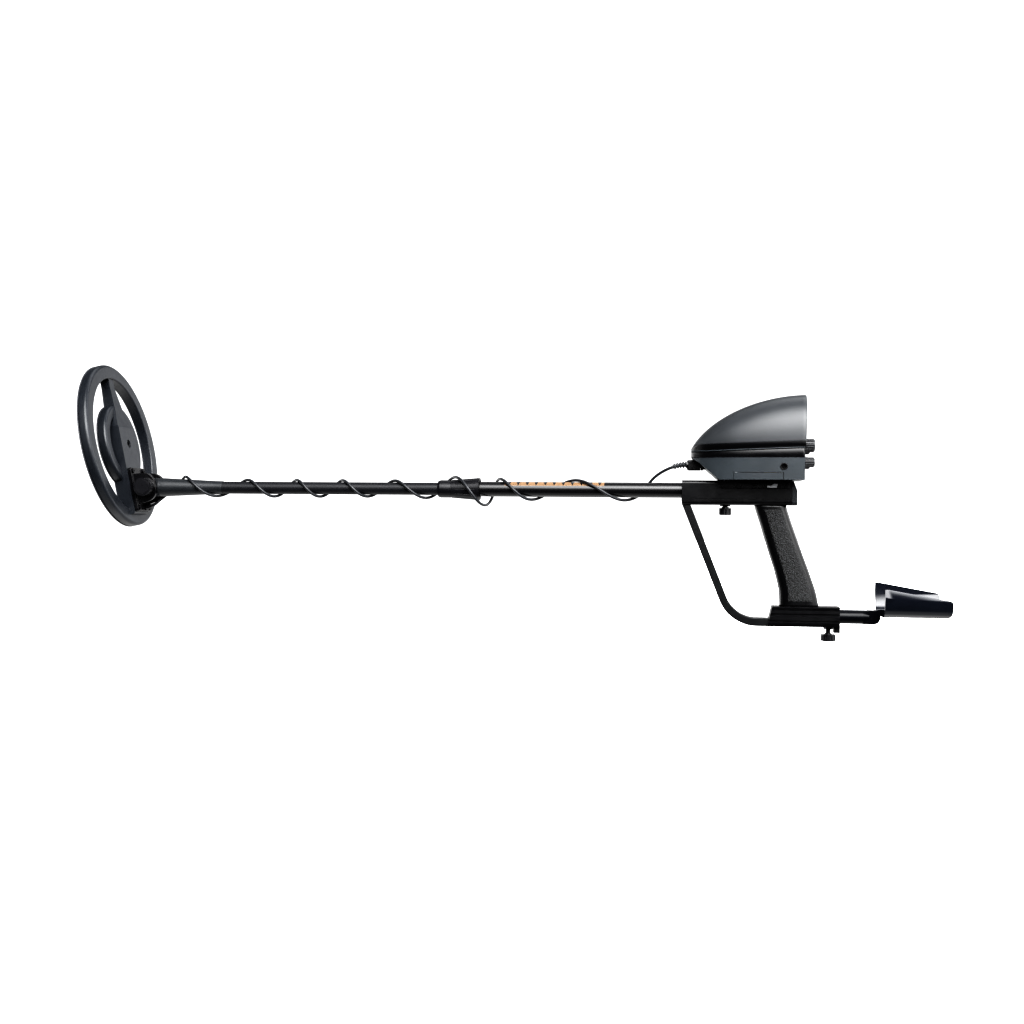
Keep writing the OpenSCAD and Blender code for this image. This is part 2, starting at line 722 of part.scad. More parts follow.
// Cuts the sloping bevel along one wall's lip
module lip_bevel(side, dz) {
    translate([cuff_x[0], side * (cuff_w - 1), -46.5 + dz]) rotate([0, 7.83, 0]) rotate([side * 14, 0, 0])
        translate([-10, side > 0 ? 0 : -10, -0.01]) cube([110, 10, 22]);
}

module cuff_section() {
    n = len(cuff_half_path) - 1;
    path = concat([for (i = [n:-1:1]) [-cuff_half_path[i][0], cuff_half_path[i][1]]], cuff_half_path);
    cross_bar(ribbon(path, cuff_t), cuff_x[0], cuff_x[1]);
}

module arm_cuff() {
    color([0.05, 0.055, 0.07]) difference() {
        intersection() {
            cuff_section();
            side_plate(concat(
                [[cuff_x[0], -80]],
                cuff_lip(lip_far),
                arc([cuff_x[1] - 10, -66], 10, 0, -70, 6),
                [[cuff_x[1] - 14, -80]]), 2 * cuff_w + 20);
        }
        side_plate(concat(
            [[cuff_x[0] - 5, -20], [cuff_x[0] - 5, -37.5 + lip_near]],
            cuff_lip(lip_near),
            [[cuff_x[1] + 5, -54.8 + lip_near], [cuff_x[1] + 5, -20]]), cuff_w + 10, -(cuff_w + 10) / 2);
        lip_bevel(-1, lip_near);
        lip_bevel(1, lip_far);
        for (x = [132, 162]) z_rod(-80, -60, 2.05, x);
    }
}

module cuff_screws() {
    color([0.2, 0.2, 0.21]) for (x = [132, 162]) difference() {
        union() {
            z_rod(cuff_floor - 0.2, cuff_floor + cuff_t + tongue_t + 0.2, 2, x);
            z_rod(cuff_floor + cuff_t + tongue_t + 0.15, cuff_floor + cuff_t + tongue_t + 2.4, 3.8, x);
            z_rod(cuff_floor - 1.4, cuff_floor - 0.05, 3.6, x);
        }
        for (a = [0, 90]) translate([x, 0, 0]) rotate([0, 0, a])
            box([-2.2, -0.5, cuff_floor + cuff_t + tongue_t + 1.2], [2.2, 0.5, -60]);
    }
}

// ---- Control box -------------------------------------------------------------------

box_rear_x = 20.5;
box_bottom_z = 92.8;
hood_base_z = 120;
hood_rise = 79.5;
hood_len = 144;
hood_end_x = 24;
case_w = 48;
panel_x = 12;
panel_t = 2.4;
knob_y = 34;
knob_tip_x = 33;
knob_upper_z = 135.2;
knob_lower_z = 114.6;
door_x = [-65, -5];
door_top_z = 101.6;
jack_x = -4.5;
jack_z = 109;
jack_r = 3.25;
meter_z = 168;
// Inner edge of the battery door, and the rear face of the cable's plug
door_y = -15.6;
socket_x = -104;
socket_z = 111.5;

// How far forward of the hood's rear end x lies, from 0 to 1
function forward(x) = min(1, max(0, (hood_end_x - x) / hood_len));
// Height of the hood's ridge and half width of the box at x
function ridge_z(x) = hood_base_z + hood_rise * pow(1 - pow(forward(x), 1.9), 1 / 1.6);
function half_w(x, w) = w * pow(1 - pow(forward(x), 3.2), 1 / 2.4);
// The hood's section at x, g inside its outer face
function hood_ring(x, g) = let (w = half_w(x, hood_w) - g, h = ridge_z(x) - g - seam_z,
        lean = 0.045 * pow(1 - min(1, forward(x)), 2), foot = g > 0 ? -3 : 0)
    concat([[x + lean * foot, w * 0.96, seam_z + foot]],
        [for (k = [0:18]) let (a = 10 * k, ca = cos(a), sa = sin(a), z = 4 + (h - 4) * pow(sa, 0.8))
            [x + lean * z, w * sign(ca) * pow(abs(ca), 0.75), seam_z + z]],
        [[x + lean * foot, -w * 0.96, seam_z + foot]]);

// A list of stations that lie closer together near the nose
function stations(x0, x1, n) = [for (i = [0:n]) x0 + (x1 - x0) * pow(i / n, 1.5)];

module box_hood() {
    color([0.1, 0.1, 0.105]) difference() {
        skin([for (x = stations(-116.5, box_rear_x, 13)) hood_ring(x, 0)]);
        skin([for (x = stations(-112, box_rear_x + over, 11)) hood_ring(x, case_wall)]);
    }
}

// The lower case's outline seen from above, g inside its outer face
function case_plan(g) = let (xs = stations(-115.5 + g, box_rear_x, 11), n = len(xs) - 1)
    concat([for (i = [n:-1:0]) [xs[i], half_w(xs[i], case_w) - g * (i > 0 ? 1 : 0.3)]],
        [for (i = [0:n]) [xs[i], g * (i > 0 ? 1 : 0.3) - half_w(xs[i], case_w)]]);

// The lower case seen from the side, g inside its outer face: the front slopes under the nose
function case_side(g) = [[-130, seam_z + 2], [-130, 121], [-116 + g, 120], [-107 + g, 114],
    [-82 + g, box_bottom_z + g], [60, box_bottom_z + g], [60, seam_z + 2]];

module case_body(g, z1) {
    intersection() {
        translate([0, 0, box_bottom_z - 2]) linear_extrude(height = z1 - box_bottom_z + 2)
            polygon(case_plan(g));
        side_plate(case_side(g), 200);
    }
}

// The case's screws: one pair under the nose, one under the rear opening
module case_screw_places() {
    for (p = [[-73, 24], [4, 37.7]], side = [-1, 1]) translate([p[0], side * p[1], 0]) children();
}

module box_base() {
    grille_slots = 5;
    color([0.14, 0.15, 0.165]) difference() {
        union() {
            difference() {
                case_body(0, seam_z - 0.3);
                case_body(case_wall, seam_z + over);
                // The rear is open for the panel
                box([panel_x + 6, -case_w + case_wall, box_bottom_z + case_wall],
                    [60, case_w - case_wall, seam_z + over]);
            }
            case_screw_places() z_rod(box_bottom_z + 1, seam_z - 26, 4);
        }
        // Opening of the battery door, in the near wall and the floor
        box([door_x[0] - 0.3, -60, box_bottom_z - over],
            [door_x[1] + 0.3, door_y + 0.4, box_bottom_z + case_wall + over]);
        box([door_x[0] - 0.3, -60, box_bottom_z - over],
            [door_x[1] + 0.3, -36, door_top_z + 0.3]);
        y_rod(-60, -30, 4.6, jack_x, jack_z);
        // Notch for the plug, and the hole of its socket
        box([-130, -7.4, 100], [socket_x - 0.4, 7.4, 118.5]);
        x_rod(-130, socket_x + 2.7, 6.7, socket_z);
        x_rod(-130, -60, 5.6, socket_z);
        for (i = [0:grille_slots - 1]) box([-60 + 8 * i, 30, 104], [-57 + 8 * i, 60, 122]);
        case_screw_places() z_rod(80, seam_z - 30, 1.6);
    }
}

// The panel fills the box's rear opening, set back under the hood
module rear_panel() {
    g = case_wall + 0.25;
    low = [[case_w - g, box_bottom_z + g], [case_w - g, seam_z + 1]];
    inner = hood_ring(panel_x, g + 0.35);
    high = [for (i = [1:len(inner) - 2]) [inner[i][1], max(inner[i][2], seam_z + 4)]];
    color([0.05, 0.05, 0.055]) difference() {
        cross_bar(concat(low, high, [for (i = [1:-1:0]) [-low[i][0], low[i][1]]]),
            panel_x, panel_x + panel_t);
        knob_places() x_rod(panel_x - over, panel_x + 5, 3.6);
        cross_bar(round_box([0, meter_z], 30, 19, 3), panel_x - over, panel_x + 5);
        x_rod(panel_x - over, panel_x + 5, 3.1, 121);
    }
}

// The four knobs' places, as seen from behind the box
module knob_places() {
    for (y = [-knob_y, knob_y], z = [knob_upper_z, knob_lower_z]) translate([0, y, z]) children();
}

module mount_plate() {
    color([0.03, 0.03, 0.035]) difference() {
        union() {
            box([plate_x[0], -20, plate_z], [plate_x[1], 20, box_bottom_z - 0.05]);
            both_sides() box([plate_x[0] + 4, housing_w / 2 + 0.15, 83],
                [plate_x[1] - 2, 20, plate_z + over]);
        }
        both_sides() y_rod(10, 30, 1.6, -40, 86.6);
    }
}

// A spring clip that holds the box's plate on the housing's near flank
module mount_clip() {
    outline = [[-23, 83.4], [-11.5, 83.4], [-10, 88.4], [-14, 88.8], [-19, 86.2], [-23, 86.2]];
    color([0.55, 0.56, 0.58]) side_plate(outline, 1.2, -20.7);
}

module case_screws() {
    color([0.1, 0.1, 0.105]) case_screw_places() difference() {
        union() {
            z_rod(box_bottom_z - 1.9, box_bottom_z - 0.02, 3);
            z_rod(box_bottom_z - 0.5, seam_z - 31, 1.5);
        }
        for (a = [0, 90]) rotate([0, 0, a]) box([-1.8, -0.4, box_bottom_z - 3], [1.8, 0.4, box_bottom_z - 1]);
    }
}

// The door is an angle: a lip in the near wall and a floor under the batteries
module battery_door() {
    color([0.14, 0.15, 0.165]) difference() {
        intersection() {
            case_body(0, seam_z);
            box([door_x[0], -60, box_bottom_z], [door_x[1], door_y, door_top_z]);
        }
        intersection() {
            case_body(case_wall, seam_z + over);
            box([door_x[0] - over, -60, box_bottom_z + case_wall], [door_x[1] + over, 0, seam_z]);
        }
    }
}

// Two square nine-volt batteries, one on the other
module batteries() {
    color([0.75, 0.6, 0.2]) for (z = [96, 114]) {
        box([-60, -41.5, z], [-13.5, -15.6, z + 17.4]);
        for (y = [-34.6, -22.6]) x_rod(-13.6, -11.4, 2.9, z + 8.7, y);
    }
}

module battery_contacts() {
    color([0.1, 0.1, 0.1]) for (z = [96, 114]) difference() {
        box([-12.8, -41.3, z + 0.5], [-9.6, -16, z + 16.9]);
        for (y = [-34.6, -22.6]) x_rod(-14, -11.2, 3, z + 8.7, y);
    }
}

module circuit_board() {
    color([0.08, 0.3, 0.14]) union() {
        difference() {
            box([-6.8, -18, 97], [-5.2, 40, 146]);
            x_rod(-8, -4, 1.6, 142, -14);
        }
        for (y = [2, 14, 26]) box([-9.4, y, 124], [-6.7, y + 7, 138]);
        for (y = [-10, 6, 22]) x_rod(-14, -6.7, 3, 108, y);
    }
}

module potentiometers() {
    color([0.5, 0.5, 0.52]) knob_places() difference() {
        union() {
            x_rod(panel_x - 10, panel_x - 1.5, 8.2);
            x_rod(panel_x - 1.6, panel_x + panel_t + 1.4, 3.5);
        }
        x_rod(panel_x - 6, panel_x + 9, 1.6 + run_gap);
    }
}

module speaker() {
    color([0.12, 0.12, 0.13]) union() {
        y_rod(38.4, 41.4, 17, -40, 113);
        difference() {
            translate([-40, 30, 113]) rotate([-90, 0, 0]) cylinder(h = 8.5, r1 = 9.5, r2 = 16.4);
            y_rod(36, 47, 13, -40, 113);
        }
        y_rod(25, 30.2, 9.5, -40, 113);
    }
}

module meter_body() {
    color([0.04, 0.04, 0.045]) union() {
        difference() {
            cross_bar(round_box([0, meter_z], 29.7, 18.7, 2.8), panel_x - 14, panel_x + panel_t + 1.2);
            cross_bar(round_box([0, meter_z], 27.6, 16.6, 2), panel_x - 2, panel_x + 9);
        }
        cross_bar(round_box([0, meter_z - 15.2], 7, 1.6, 1), panel_x - 2.1, panel_x - 0.4);
    }
}

module meter_scale() {
    card = round_box([0, meter_z + 1.7], 27.3, 14.4, 1.8);
    color([0.93, 0.92, 0.85]) cross_bar(card, panel_x - 1.9, panel_x - 1.4);
}

module meter_window() {
    pane = round_box([0, meter_z], 27.4, 16.4, 1.8);
    color([0.8, 0.85, 0.88, 0.35]) cross_bar(pane, panel_x + 2.2, panel_x + 3.4);
}

// The needle points to the low end of its scale
module meter_needle() {
    hub_z = meter_z - 13;
    color([0.7, 0.08, 0.05]) union() {
        x_rod(panel_x - 0.1, panel_x + 1.3, 1.7, hub_z);
        translate([0, 0, hub_z]) rotate([45, 0, 0])
            box([panel_x + 0.2, -0.35, -3.5], [panel_x + 0.8, 0.35, 25]);
    }
}

// A ribbed knob on its shaft, about the X axis
module knob(d) {
    ribs = 18;
    color([0.03, 0.03, 0.035]) union() {
        difference() {
            union() {
                x_rod(panel_x + panel_t + 2.2, panel_x + panel_t + 4.6, d / 2 + 0.6);
                x_rod(panel_x + panel_t + 4.5, knob_tip_x - 1, d / 2);
                x_rod(knob_tip_x - 1.1, knob_tip_x, d / 2 - 1.4);
            }
            for (i = [0:ribs - 1]) rotate([360 * i / ribs, 0, 0])
                x_rod(panel_x + panel_t + 6, knob_tip_x + over, 0.9, d / 2 + 0.3);
            // Pointer line on the face
            box([knob_tip_x - 0.6, -0.6, d / 4], [knob_tip_x + over, 0.6, d]);
        }
        x_rod(panel_x - 5, panel_x + panel_t + 3, 1.6);
    }
}

module knob_sensitivity() {
    translate([0, -knob_y, knob_upper_z]) knob(knob_upper_d);
}

module knob_discrimination() {
    translate([0, knob_y, knob_upper_z]) knob(knob_upper_d);
}

module knob_volume() {
    translate([0, -knob_y, knob_lower_z]) knob(knob_lower_d);
}

module knob_tuning() {
    translate([0, knob_y, knob_lower_z]) knob(knob_lower_d);
}

// A toggle lever, seated in the panel
module mode_switch() {
    color([0.6, 0.6, 0.62]) translate([panel_x + 1.2, 0, 121]) union() {
        sphere(r = 2.7);
        rotate([0, 90, 0]) cylinder(h = 13, r1 = 1.5, r2 = 2.2);
        translate([13, 0, 0]) sphere(r = 2.2);
    }
}

module headphone_socket() {
    color([0.1, 0.1, 0.11]) difference() {
        union() {
            y_rod(-case_w - 0.3, -case_w + 8, 4.5, jack_x, jack_z);
            y_rod(-case_w + case_wall + 0.4, -case_w + 4.4, 6.4, jack_x, jack_z);
        }
        y_rod(-case_w - over, -case_w + 7, jack_r, jack_x, jack_z);
    }
}

module cable_socket() {
    color([0.03, 0.03, 0.035]) difference() {
        union() {
            x_rod(socket_x, -86, 5.5, socket_z);
            x_rod(socket_x - 0.5, socket_x + 2.5, 6.6, socket_z);
        }
        x_rod(-106, -92, 3.6, socket_z);
    }
}

// The plug's block under the nose, with its locking ring
module cable_plug() {
    color([0.03, 0.03, 0.035]) union() {
        cross_bar(round_box([0, socket_z], 7, 6.6, 2), -120, socket_x - 0.8);
        x_rod(-121.5, -119.9, 6, socket_z + 0.2);
        x_rod(socket_x - 0.9, -93, 3.5, socket_z);
    }
}

// A ribbed boot that bends down towards the stem
module plug_boot() {
    ribs = 5;
    color([0.05, 0.05, 0.055]) union() {
        cord([[-121.6, 0, 112.3], [-126, 0, 112], [-130.6, 0, 111.5], [-135.2, 0, 110.5],
            [-139.7, 0, 109.05]], 2.5, 12);
        for (i = [0:ribs - 1]) translate([-123 - 3.4 * i, 0, 112.3 - 0.14 * i * i]) rotate([0, 90 - 4 * i, 0])
            cylinder(h = 1.7, r = 4.2 - 0.22 * i, center = true);
    }
}

coil_shell();
coil_cover();
outer_winding();
inner_winding();
coil_bracket();
bracket_screws();
hub_screw();
cable_gland();
pivot_bolt();
pivot_nut();
pivot_washers();
stem_tip();
lower_tube();
upper_tube();
collet();
lock_collar();
lead_coil();
lead_lower();
lead_upper();
top_housing();
housing_cap();
guard_strap();
strap_screws();
grip_core();
grip_pad_left();
grip_pad_right();
lower_housing();
threaded_bushes();
thumb_screw_front();
thumb_screw_rear();
arm_rod();
arm_cuff();
cuff_screws();
box_hood();
box_base();
rear_panel();
mount_plate();
mount_clip();
case_screws();
battery_door();
batteries();
battery_contacts();
circuit_board();
potentiometers();
speaker();
meter_body();
meter_scale();
meter_window();
meter_needle();
knob_sensitivity();
knob_discrimination();
knob_volume();
knob_tuning();
mode_switch();
headphone_socket();
cable_socket();
cable_plug();
plug_boot();
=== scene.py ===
"""The looks of a metal detector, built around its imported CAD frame.

Everything is in metres in the CAD's own frame: +X runs from the coil to the user, +Z is up, and the
origin is the middle of the hand grip. The near side of the main view is -Y.
"""

import json
import math

import bmesh
import bpy
from mathutils import Matrix, Vector


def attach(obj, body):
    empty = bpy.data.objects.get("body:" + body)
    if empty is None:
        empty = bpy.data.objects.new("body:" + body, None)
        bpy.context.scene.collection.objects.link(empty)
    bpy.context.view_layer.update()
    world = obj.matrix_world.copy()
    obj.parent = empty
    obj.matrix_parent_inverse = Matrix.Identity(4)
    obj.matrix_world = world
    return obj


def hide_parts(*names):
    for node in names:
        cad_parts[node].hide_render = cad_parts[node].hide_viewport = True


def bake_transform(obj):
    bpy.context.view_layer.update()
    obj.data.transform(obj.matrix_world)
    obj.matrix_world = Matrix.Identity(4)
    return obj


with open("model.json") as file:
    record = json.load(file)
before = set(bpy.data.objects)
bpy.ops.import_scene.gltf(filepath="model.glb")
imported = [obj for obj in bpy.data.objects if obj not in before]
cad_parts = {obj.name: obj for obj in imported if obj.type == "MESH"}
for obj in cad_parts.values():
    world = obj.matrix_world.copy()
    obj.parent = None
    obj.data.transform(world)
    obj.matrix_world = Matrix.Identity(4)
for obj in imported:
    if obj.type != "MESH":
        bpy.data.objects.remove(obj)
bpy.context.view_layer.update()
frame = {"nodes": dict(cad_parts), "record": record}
MM = 0.001

# ---- Camera ----------------------------------------------------------------------------
# The main view is level, from the near side, turned a little towards the coil.
CAMERA_AT = Vector((-0.1249, -1.7767, 0.051))
CAMERA_TURN = math.radians(7)
CAMERA_ROLL = math.radians(0.45)
CAMERA_LENS = 49.22


def add_camera():
    """The camera of the main view."""
    data = bpy.data.cameras.new("camera")
    data.lens = CAMERA_LENS
    data.sensor_width = 36
    data.clip_start = 0.01
    data.clip_end = 100
    camera = bpy.data.objects.new("camera", data)
    bpy.context.scene.collection.objects.link(camera)
    level = Vector((math.cos(CAMERA_TURN), math.sin(CAMERA_TURN), 0))
    ahead = Vector((-math.sin(CAMERA_TURN), math.cos(CAMERA_TURN), 0))
    right = math.cos(CAMERA_ROLL) * level + math.sin(CAMERA_ROLL) * Vector((0, 0, 1))
    up = math.cos(CAMERA_ROLL) * Vector((0, 0, 1)) - math.sin(CAMERA_ROLL) * level
    turn = Matrix((right, up, -ahead)).transposed().to_4x4()
    camera.matrix_world = Matrix.Translation(CAMERA_AT) @ turn
    bpy.context.scene.camera = camera


add_camera()

# ---- Numbers shared with the CAD, in metres --------------------------------------------
STEM_Z = 0.080
CABLE_R = 0.0018
SEAM_Z = 0.128
WALL = 0.0024
CASE_W = 0.048
HOOD_W = 0.052
METER_Z = 0.168
HUB_DROP = 0.013
DOOR_X = (-0.065, -0.005)
DOOR_TOP_Z = 0.1016
KNOB_Y = 0.034
KNOB_UPPER_Z = 0.1352
KNOB_LOWER_Z = 0.1146
KNOB_TIP_X = 0.033
KNOB_UPPER_D = 0.0165
KNOB_LOWER_D = 0.0125


# ---- Materials -------------------------------------------------------------------------
class Look:
    """A material with a Principled shader, and short names for the nodes that feed it."""

    def __init__(self, name, color, rough, metal=0.0, **sockets):
        self.material = bpy.data.materials.new(name)
        self.material.use_nodes = True
        self.tree = self.material.node_tree
        self.shader = self.tree.nodes["Principled BSDF"]
        self.shader.inputs["Base Color"].default_value = (*color, 1)
        self.shader.inputs["Roughness"].default_value = rough
        self.shader.inputs["Metallic"].default_value = metal
        self.material.diffuse_color = (*color, 1)
        for socket, value in sockets.items():
            self.shader.inputs[socket.replace("_", " ").title().replace("Ior", "IOR")].default_value = value
        self.color = color
        self.rough = rough
        self.place = self.node("ShaderNodeTexCoord").outputs["Object"]

    def node(self, kind, **settings):
        """A new node, with its own settings."""
        made = self.tree.nodes.new(kind)
        for key, value in settings.items():
            setattr(made, key, value)
        return made

    def link(self, source, target):
        self.tree.links.new(source, target)

    def feed(self, target, value):
        """Puts a number or a link into a socket."""
        if isinstance(value, (int, float)):
            target.default_value = value
        else:
            self.link(value, target)

    def math(self, operation, a, b=0.0, c=0.0):
        """A Math node's output."""
        made = self.node("ShaderNodeMath", operation=operation)
        for socket, value in zip(made.inputs, (a, b, c)):
            self.feed(socket, value)
        return made.outputs[0]

    def both(self, *values):
        """The product of values: 1 only where each of them is 1."""
        out = values[0]
        for value in values[1:]:
            out = self.math("MULTIPLY", out, value)
        return out

    def away(self, value, place):
        """How far value is from place, on either side."""
        return self.math("ABSOLUTE", self.math("SUBTRACT", value, place))

    def radius(self, a, b):
        """How far a point is from an axis that it is a and b away from."""
        return self.math("SQRT", self.math("ADD", self.math("POWER", a, 2.0), self.math("POWER", b, 2.0)))

    def noise(self, scale, detail=3.0, rough=0.55, stretch=None):
        """A noise texture's value, at scale features a metre."""
        made = self.node("ShaderNodeTexNoise")
        made.inputs["Scale"].default_value = scale
        made.inputs["Detail"].default_value = detail
        made.inputs["Roughness"].default_value = rough
        source = self.place
        if stretch:
            mapping = self.node("ShaderNodeMapping")
            mapping.inputs["Scale"].default_value = stretch
            self.link(source, mapping.inputs["Vector"])
            source = mapping.outputs[0]
        self.link(source, made.inputs["Vector"])
        return made.outputs["Fac"]

    def grain(self, fine, coarse, share):
        """Fine noise, with a share of coarser noise added."""
        return self.math("ADD", self.noise(fine, 2), self.math("MULTIPLY", self.noise(coarse, 2), share))

    def cells(self, scale, feature="F1"):
        """A Voronoi texture's distance, at scale cells a metre."""
        made = self.node("ShaderNodeTexVoronoi", feature=feature)
        made.inputs["Scale"].default_value = scale
        self.link(self.place, made.inputs["Vector"])
        return made.outputs["Distance"]

    def ramp(self, value, low, high, start=0.0, end=1.0):
        """value between low and high, spread over start to end."""
        made = self.node("ShaderNodeMapRange")
        for socket, v in zip(("From Min", "From Max", "To Min", "To Max"), (low, high, start, end)):
            made.inputs[socket].default_value = v
        self.link(value, made.inputs["Value"])
        return made.outputs["Result"]

    def mix(self, share, first, second):
        """A colour between first and second. Each is a colour or a link."""
        made = self.node("ShaderNodeMix", data_type="RGBA")
        self.feed(made.inputs["Factor"], share)
        ends = [socket for socket in made.inputs if socket.type == "RGBA"]
        for socket, value in zip(ends, (first, second)):
            if isinstance(value, tuple):
                socket.default_value = (*value, 1)
            else:
                self.link(value, socket)
        return next(socket for socket in made.outputs if socket.type == "RGBA")

    def xyz(self):
        """The place's X, Y and Z."""
        made = self.node("ShaderNodeSeparateXYZ")
        self.link(self.place, made.inputs[0])
        return made.outputs["X"], made.outputs["Y"], made.outputs["Z"]

    def vary(self, amount, scale):
        """Clouds in the base colour, amount of it each way."""
        dark = tuple(v * (1 - amount) for v in self.color)
        light = tuple(min(1, v * (1 + amount)) for v in self.color)
        clouds = self.ramp(self.noise(scale, 4), 0.3, 0.7)
        return self.mix(clouds, dark, light)

    def rough_clouds(self, amount, scale):
        """Clouds in the roughness, amount each way."""
        low, high = max(0.02, self.rough - amount), min(1, self.rough + amount)
        self.link(self.ramp(self.noise(scale, 5), 0.3, 0.7, low, high), self.shader.inputs["Roughness"])

    def bump(self, height, depth):
        """Bump from a height of 0 to 1, depth metres deep."""
        made = self.node("ShaderNodeBump")
        made.inputs["Strength"].default_value = 1.0
        made.inputs["Distance"].default_value = depth
        self.link(height, made.inputs["Height"])
        self.link(made.outputs[0], self.shader.inputs["Normal"])

    def paint(self, color):
        """Links a colour to the surface."""
        self.link(color, self.shader.inputs["Base Color"])


def moulded(name, color, rough, grain=1400, depth=0.00003, cloud=0.1, **sockets):
    """Moulded plastic: fine spark grain, faint clouds in colour and gloss."""
    look = Look(name, color, rough, **sockets)
    look.paint(look.vary(cloud, 26))
    look.rough_clouds(0.05, 60)
    look.bump(look.grain(grain, grain * 0.35, 0.6), depth)
    return look


def painted(name, color, rough, peel=260, depth=0.00002, **sockets):
    """Paint or anodising: orange peel, with small dull scuffs."""
    look = Look(name, color, rough, **sockets)
    scuffs = look.ramp(look.noise(420, 6, 0.7), 0.62, 0.74)
    look.paint(look.mix(scuffs, look.color, tuple(min(1, v * 1.6 + 0.01) for v in color)))
    look.link(look.ramp(look.noise(90, 5), 0.35, 0.7, rough, rough + 0.09), look.shader.inputs["Roughness"])
    look.bump(look.noise(peel, 3), depth)
    return look


def brushed(name, color, rough, stretch=(1, 1, 14)):
    """Machined or plated metal with fine drawn lines."""
    look = Look(name, color, rough, 1.0)
    lines = look.noise(900, 4, 0.6, stretch=stretch)
    look.paint(look.mix(look.ramp(lines, 0.35, 0.65), tuple(v * 0.85 for v in color), color))
    look.bump(lines, 0.00002)
    return look


# The gold band on the upper tube: its front end, its length, its middle and half width as angles
# about the tube, and its number of lozenges
GOLD_X = -0.352
GOLD_LENGTH = 0.127
GOLD_ANGLE = 0.4
GOLD_HALF = 0.66
LOZENGES = 11.0


def tube_look():
    """Black tube, with a gold band of plain dark lozenges along its upper side."""
    rough = 0.27
    look = painted(
        "upper_tube_paint", (0.008, 0.008, 0.009), rough, 180, 0.000012, coat_weight=0.25,
        coat_roughness=0.12)
    x, y, z = look.xyz()
    angle = look.math("ARCTAN2", look.math("MULTIPLY", y, -1.0), look.math("SUBTRACT", z, STEM_Z))
    along = look.math("MULTIPLY", look.math("SUBTRACT", x, GOLD_X), 1 / GOLD_LENGTH)
    across = look.away(angle, GOLD_ANGLE)
    band = look.both(
        look.math("GREATER_THAN", along, 0.0),
        look.math("LESS_THAN", along, 1.0),
        look.math("LESS_THAN", across, GOLD_HALF),
    )
    step = look.away(look.math("FRACT", look.math("MULTIPLY", along, LOZENGES)), 0.5)
    lozenge = look.math("LESS_THAN", look.math("ADD", step, look.math("MULTIPLY", across, 0.3)), 0.2)
    border = look.math("COMPARE", across, 0.56, 0.025)
    gold = look.both(band, look.math("SUBTRACT", 1.0, look.math("MAXIMUM", lozenge, border)))
    look.paint(look.mix(gold, look.color, (0.26, 0.165, 0.095)))
    look.link(look.math("MULTIPLY", gold, 0.25), look.shader.inputs["Metallic"])
    look.link(look.math("ADD", rough, look.math("MULTIPLY", gold, 0.1)), look.shader.inputs["Roughness"])
    return look


def hood_look():
    """Satin hood, fine grain, and painted shade: a near-black band where it turns under above the seam."""
    rough, shade_band_rough = 0.36, 0.24
    shade_band_top, shade_band_climb = 0.1408, 0.036
    look = Look("hood_plastic", (0.044, 0.047, 0.051), rough)
    x, _, z = look.xyz()
    # Painted shade: below this edge, where the hood turns under, its colour goes near black for the shade
    # there
    edge = look.math("ADD", shade_band_top, look.math("MULTIPLY", x, shade_band_climb))
    band = look.ramp(look.math("SUBTRACT", edge, z), -0.0006, 0.0016)
    look.paint(look.mix(band, look.vary(0.12, 24), (0.006, 0.006, 0.007)))
    look.link(look.ramp(band, 0.0, 1.0, rough, shade_band_rough), look.shader.inputs["Roughness"])
    look.bump(look.grain(1700, 600, 0.5), 0.000035)
    return look


def case_look():
    """Slate case, with the shadowed gap round the battery door on its two sides."""
    look = moulded("case_plastic", (0.042, 0.049, 0.055), 0.36, 1500, 0.00003)
    base = look.vary(0.1, 26)
    x, y, z = look.xyz()
    gap_half = 0.00042
    sides_from = 0.0445
    door_half = (DOOR_X[1] - DOOR_X[0]) / 2
    side = look.math("GREATER_THAN", look.math("ABSOLUTE", y), sides_from)
    away = look.away(x, (DOOR_X[0] + DOOR_X[1]) / 2)
    ends = look.both(
        look.math("COMPARE", away, door_half, gap_half), look.math("LESS_THAN", z, DOOR_TOP_Z + gap_half))
    over = look.both(look.math("COMPARE", z, DOOR_TOP_Z, gap_half), look.math("LESS_THAN", away, door_half))
    gap = look.both(side, look.math("MAXIMUM", ends, over))
    look.paint(look.mix(gap, base, (0.002, 0.002, 0.003)))
    return look


def grip_look():
    """The grip's hard rubber inlay: coarse packed granules."""
    look = Look("grip_foam", (0.016, 0.016, 0.017), 0.55)
    granules = look.cells(720)
    fine = look.noise(1500, 4, 0.65)
    hollows = look.math("MULTIPLY", look.ramp(granules, 0.0, 0.7), -1.0)
    # Painted shade: the colour darkens from each granule's middle out into the hollows between granules
    look.paint(look.mix(look.ramp(granules, 0.1, 0.6), (0.05, 0.052, 0.055), (0.006, 0.006, 0.006)))
    look.bump(look.math("ADD", hollows, look.math("MULTIPLY", fine, 0.5)), 0.0007)
    return look


def scale_look():
    """The meter's card: an arc with ticks about the needle's hub, over a green and a red zone."""
    fan_half = 0.8
    arc_r, tick_r, zone_r = 0.0225, 0.0238, 0.0205
    look = Look("scale_card", (0.42, 0.41, 0.36), 0.6)
    _, y, z = look.xyz()
    up = look.math("SUBTRACT", z, METER_Z - HUB_DROP)
    radius = look.radius(y, up)
    angle = look.math("ARCTAN2", y, up)
    fan = look.math("LESS_THAN", look.math("ABSOLUTE", angle), fan_half)
    arc = look.both(fan, look.math("COMPARE", radius, arc_r, 0.0002))
    step = look.math("FRACT", look.math("ADD", look.math("MULTIPLY", angle, 6.25), 0.5))
    tick = look.math("LESS_THAN", look.away(step, 0.5), 0.06)
    ticks = look.both(fan, tick, look.math("COMPARE", radius, tick_r, 0.0013))
    zone = look.both(fan, look.math("COMPARE", radius, zone_r, 0.0009))
    tint = look.mix(look.math("GREATER_THAN", angle, 0.25), (0.12, 0.35, 0.16), (0.6, 0.08, 0.05))
    card = look.mix(zone, look.vary(0.05, 200), tint)
    look.paint(look.mix(look.math("MAXIMUM", arc, ticks), card, (0.02, 0.02, 0.02)))
    return look


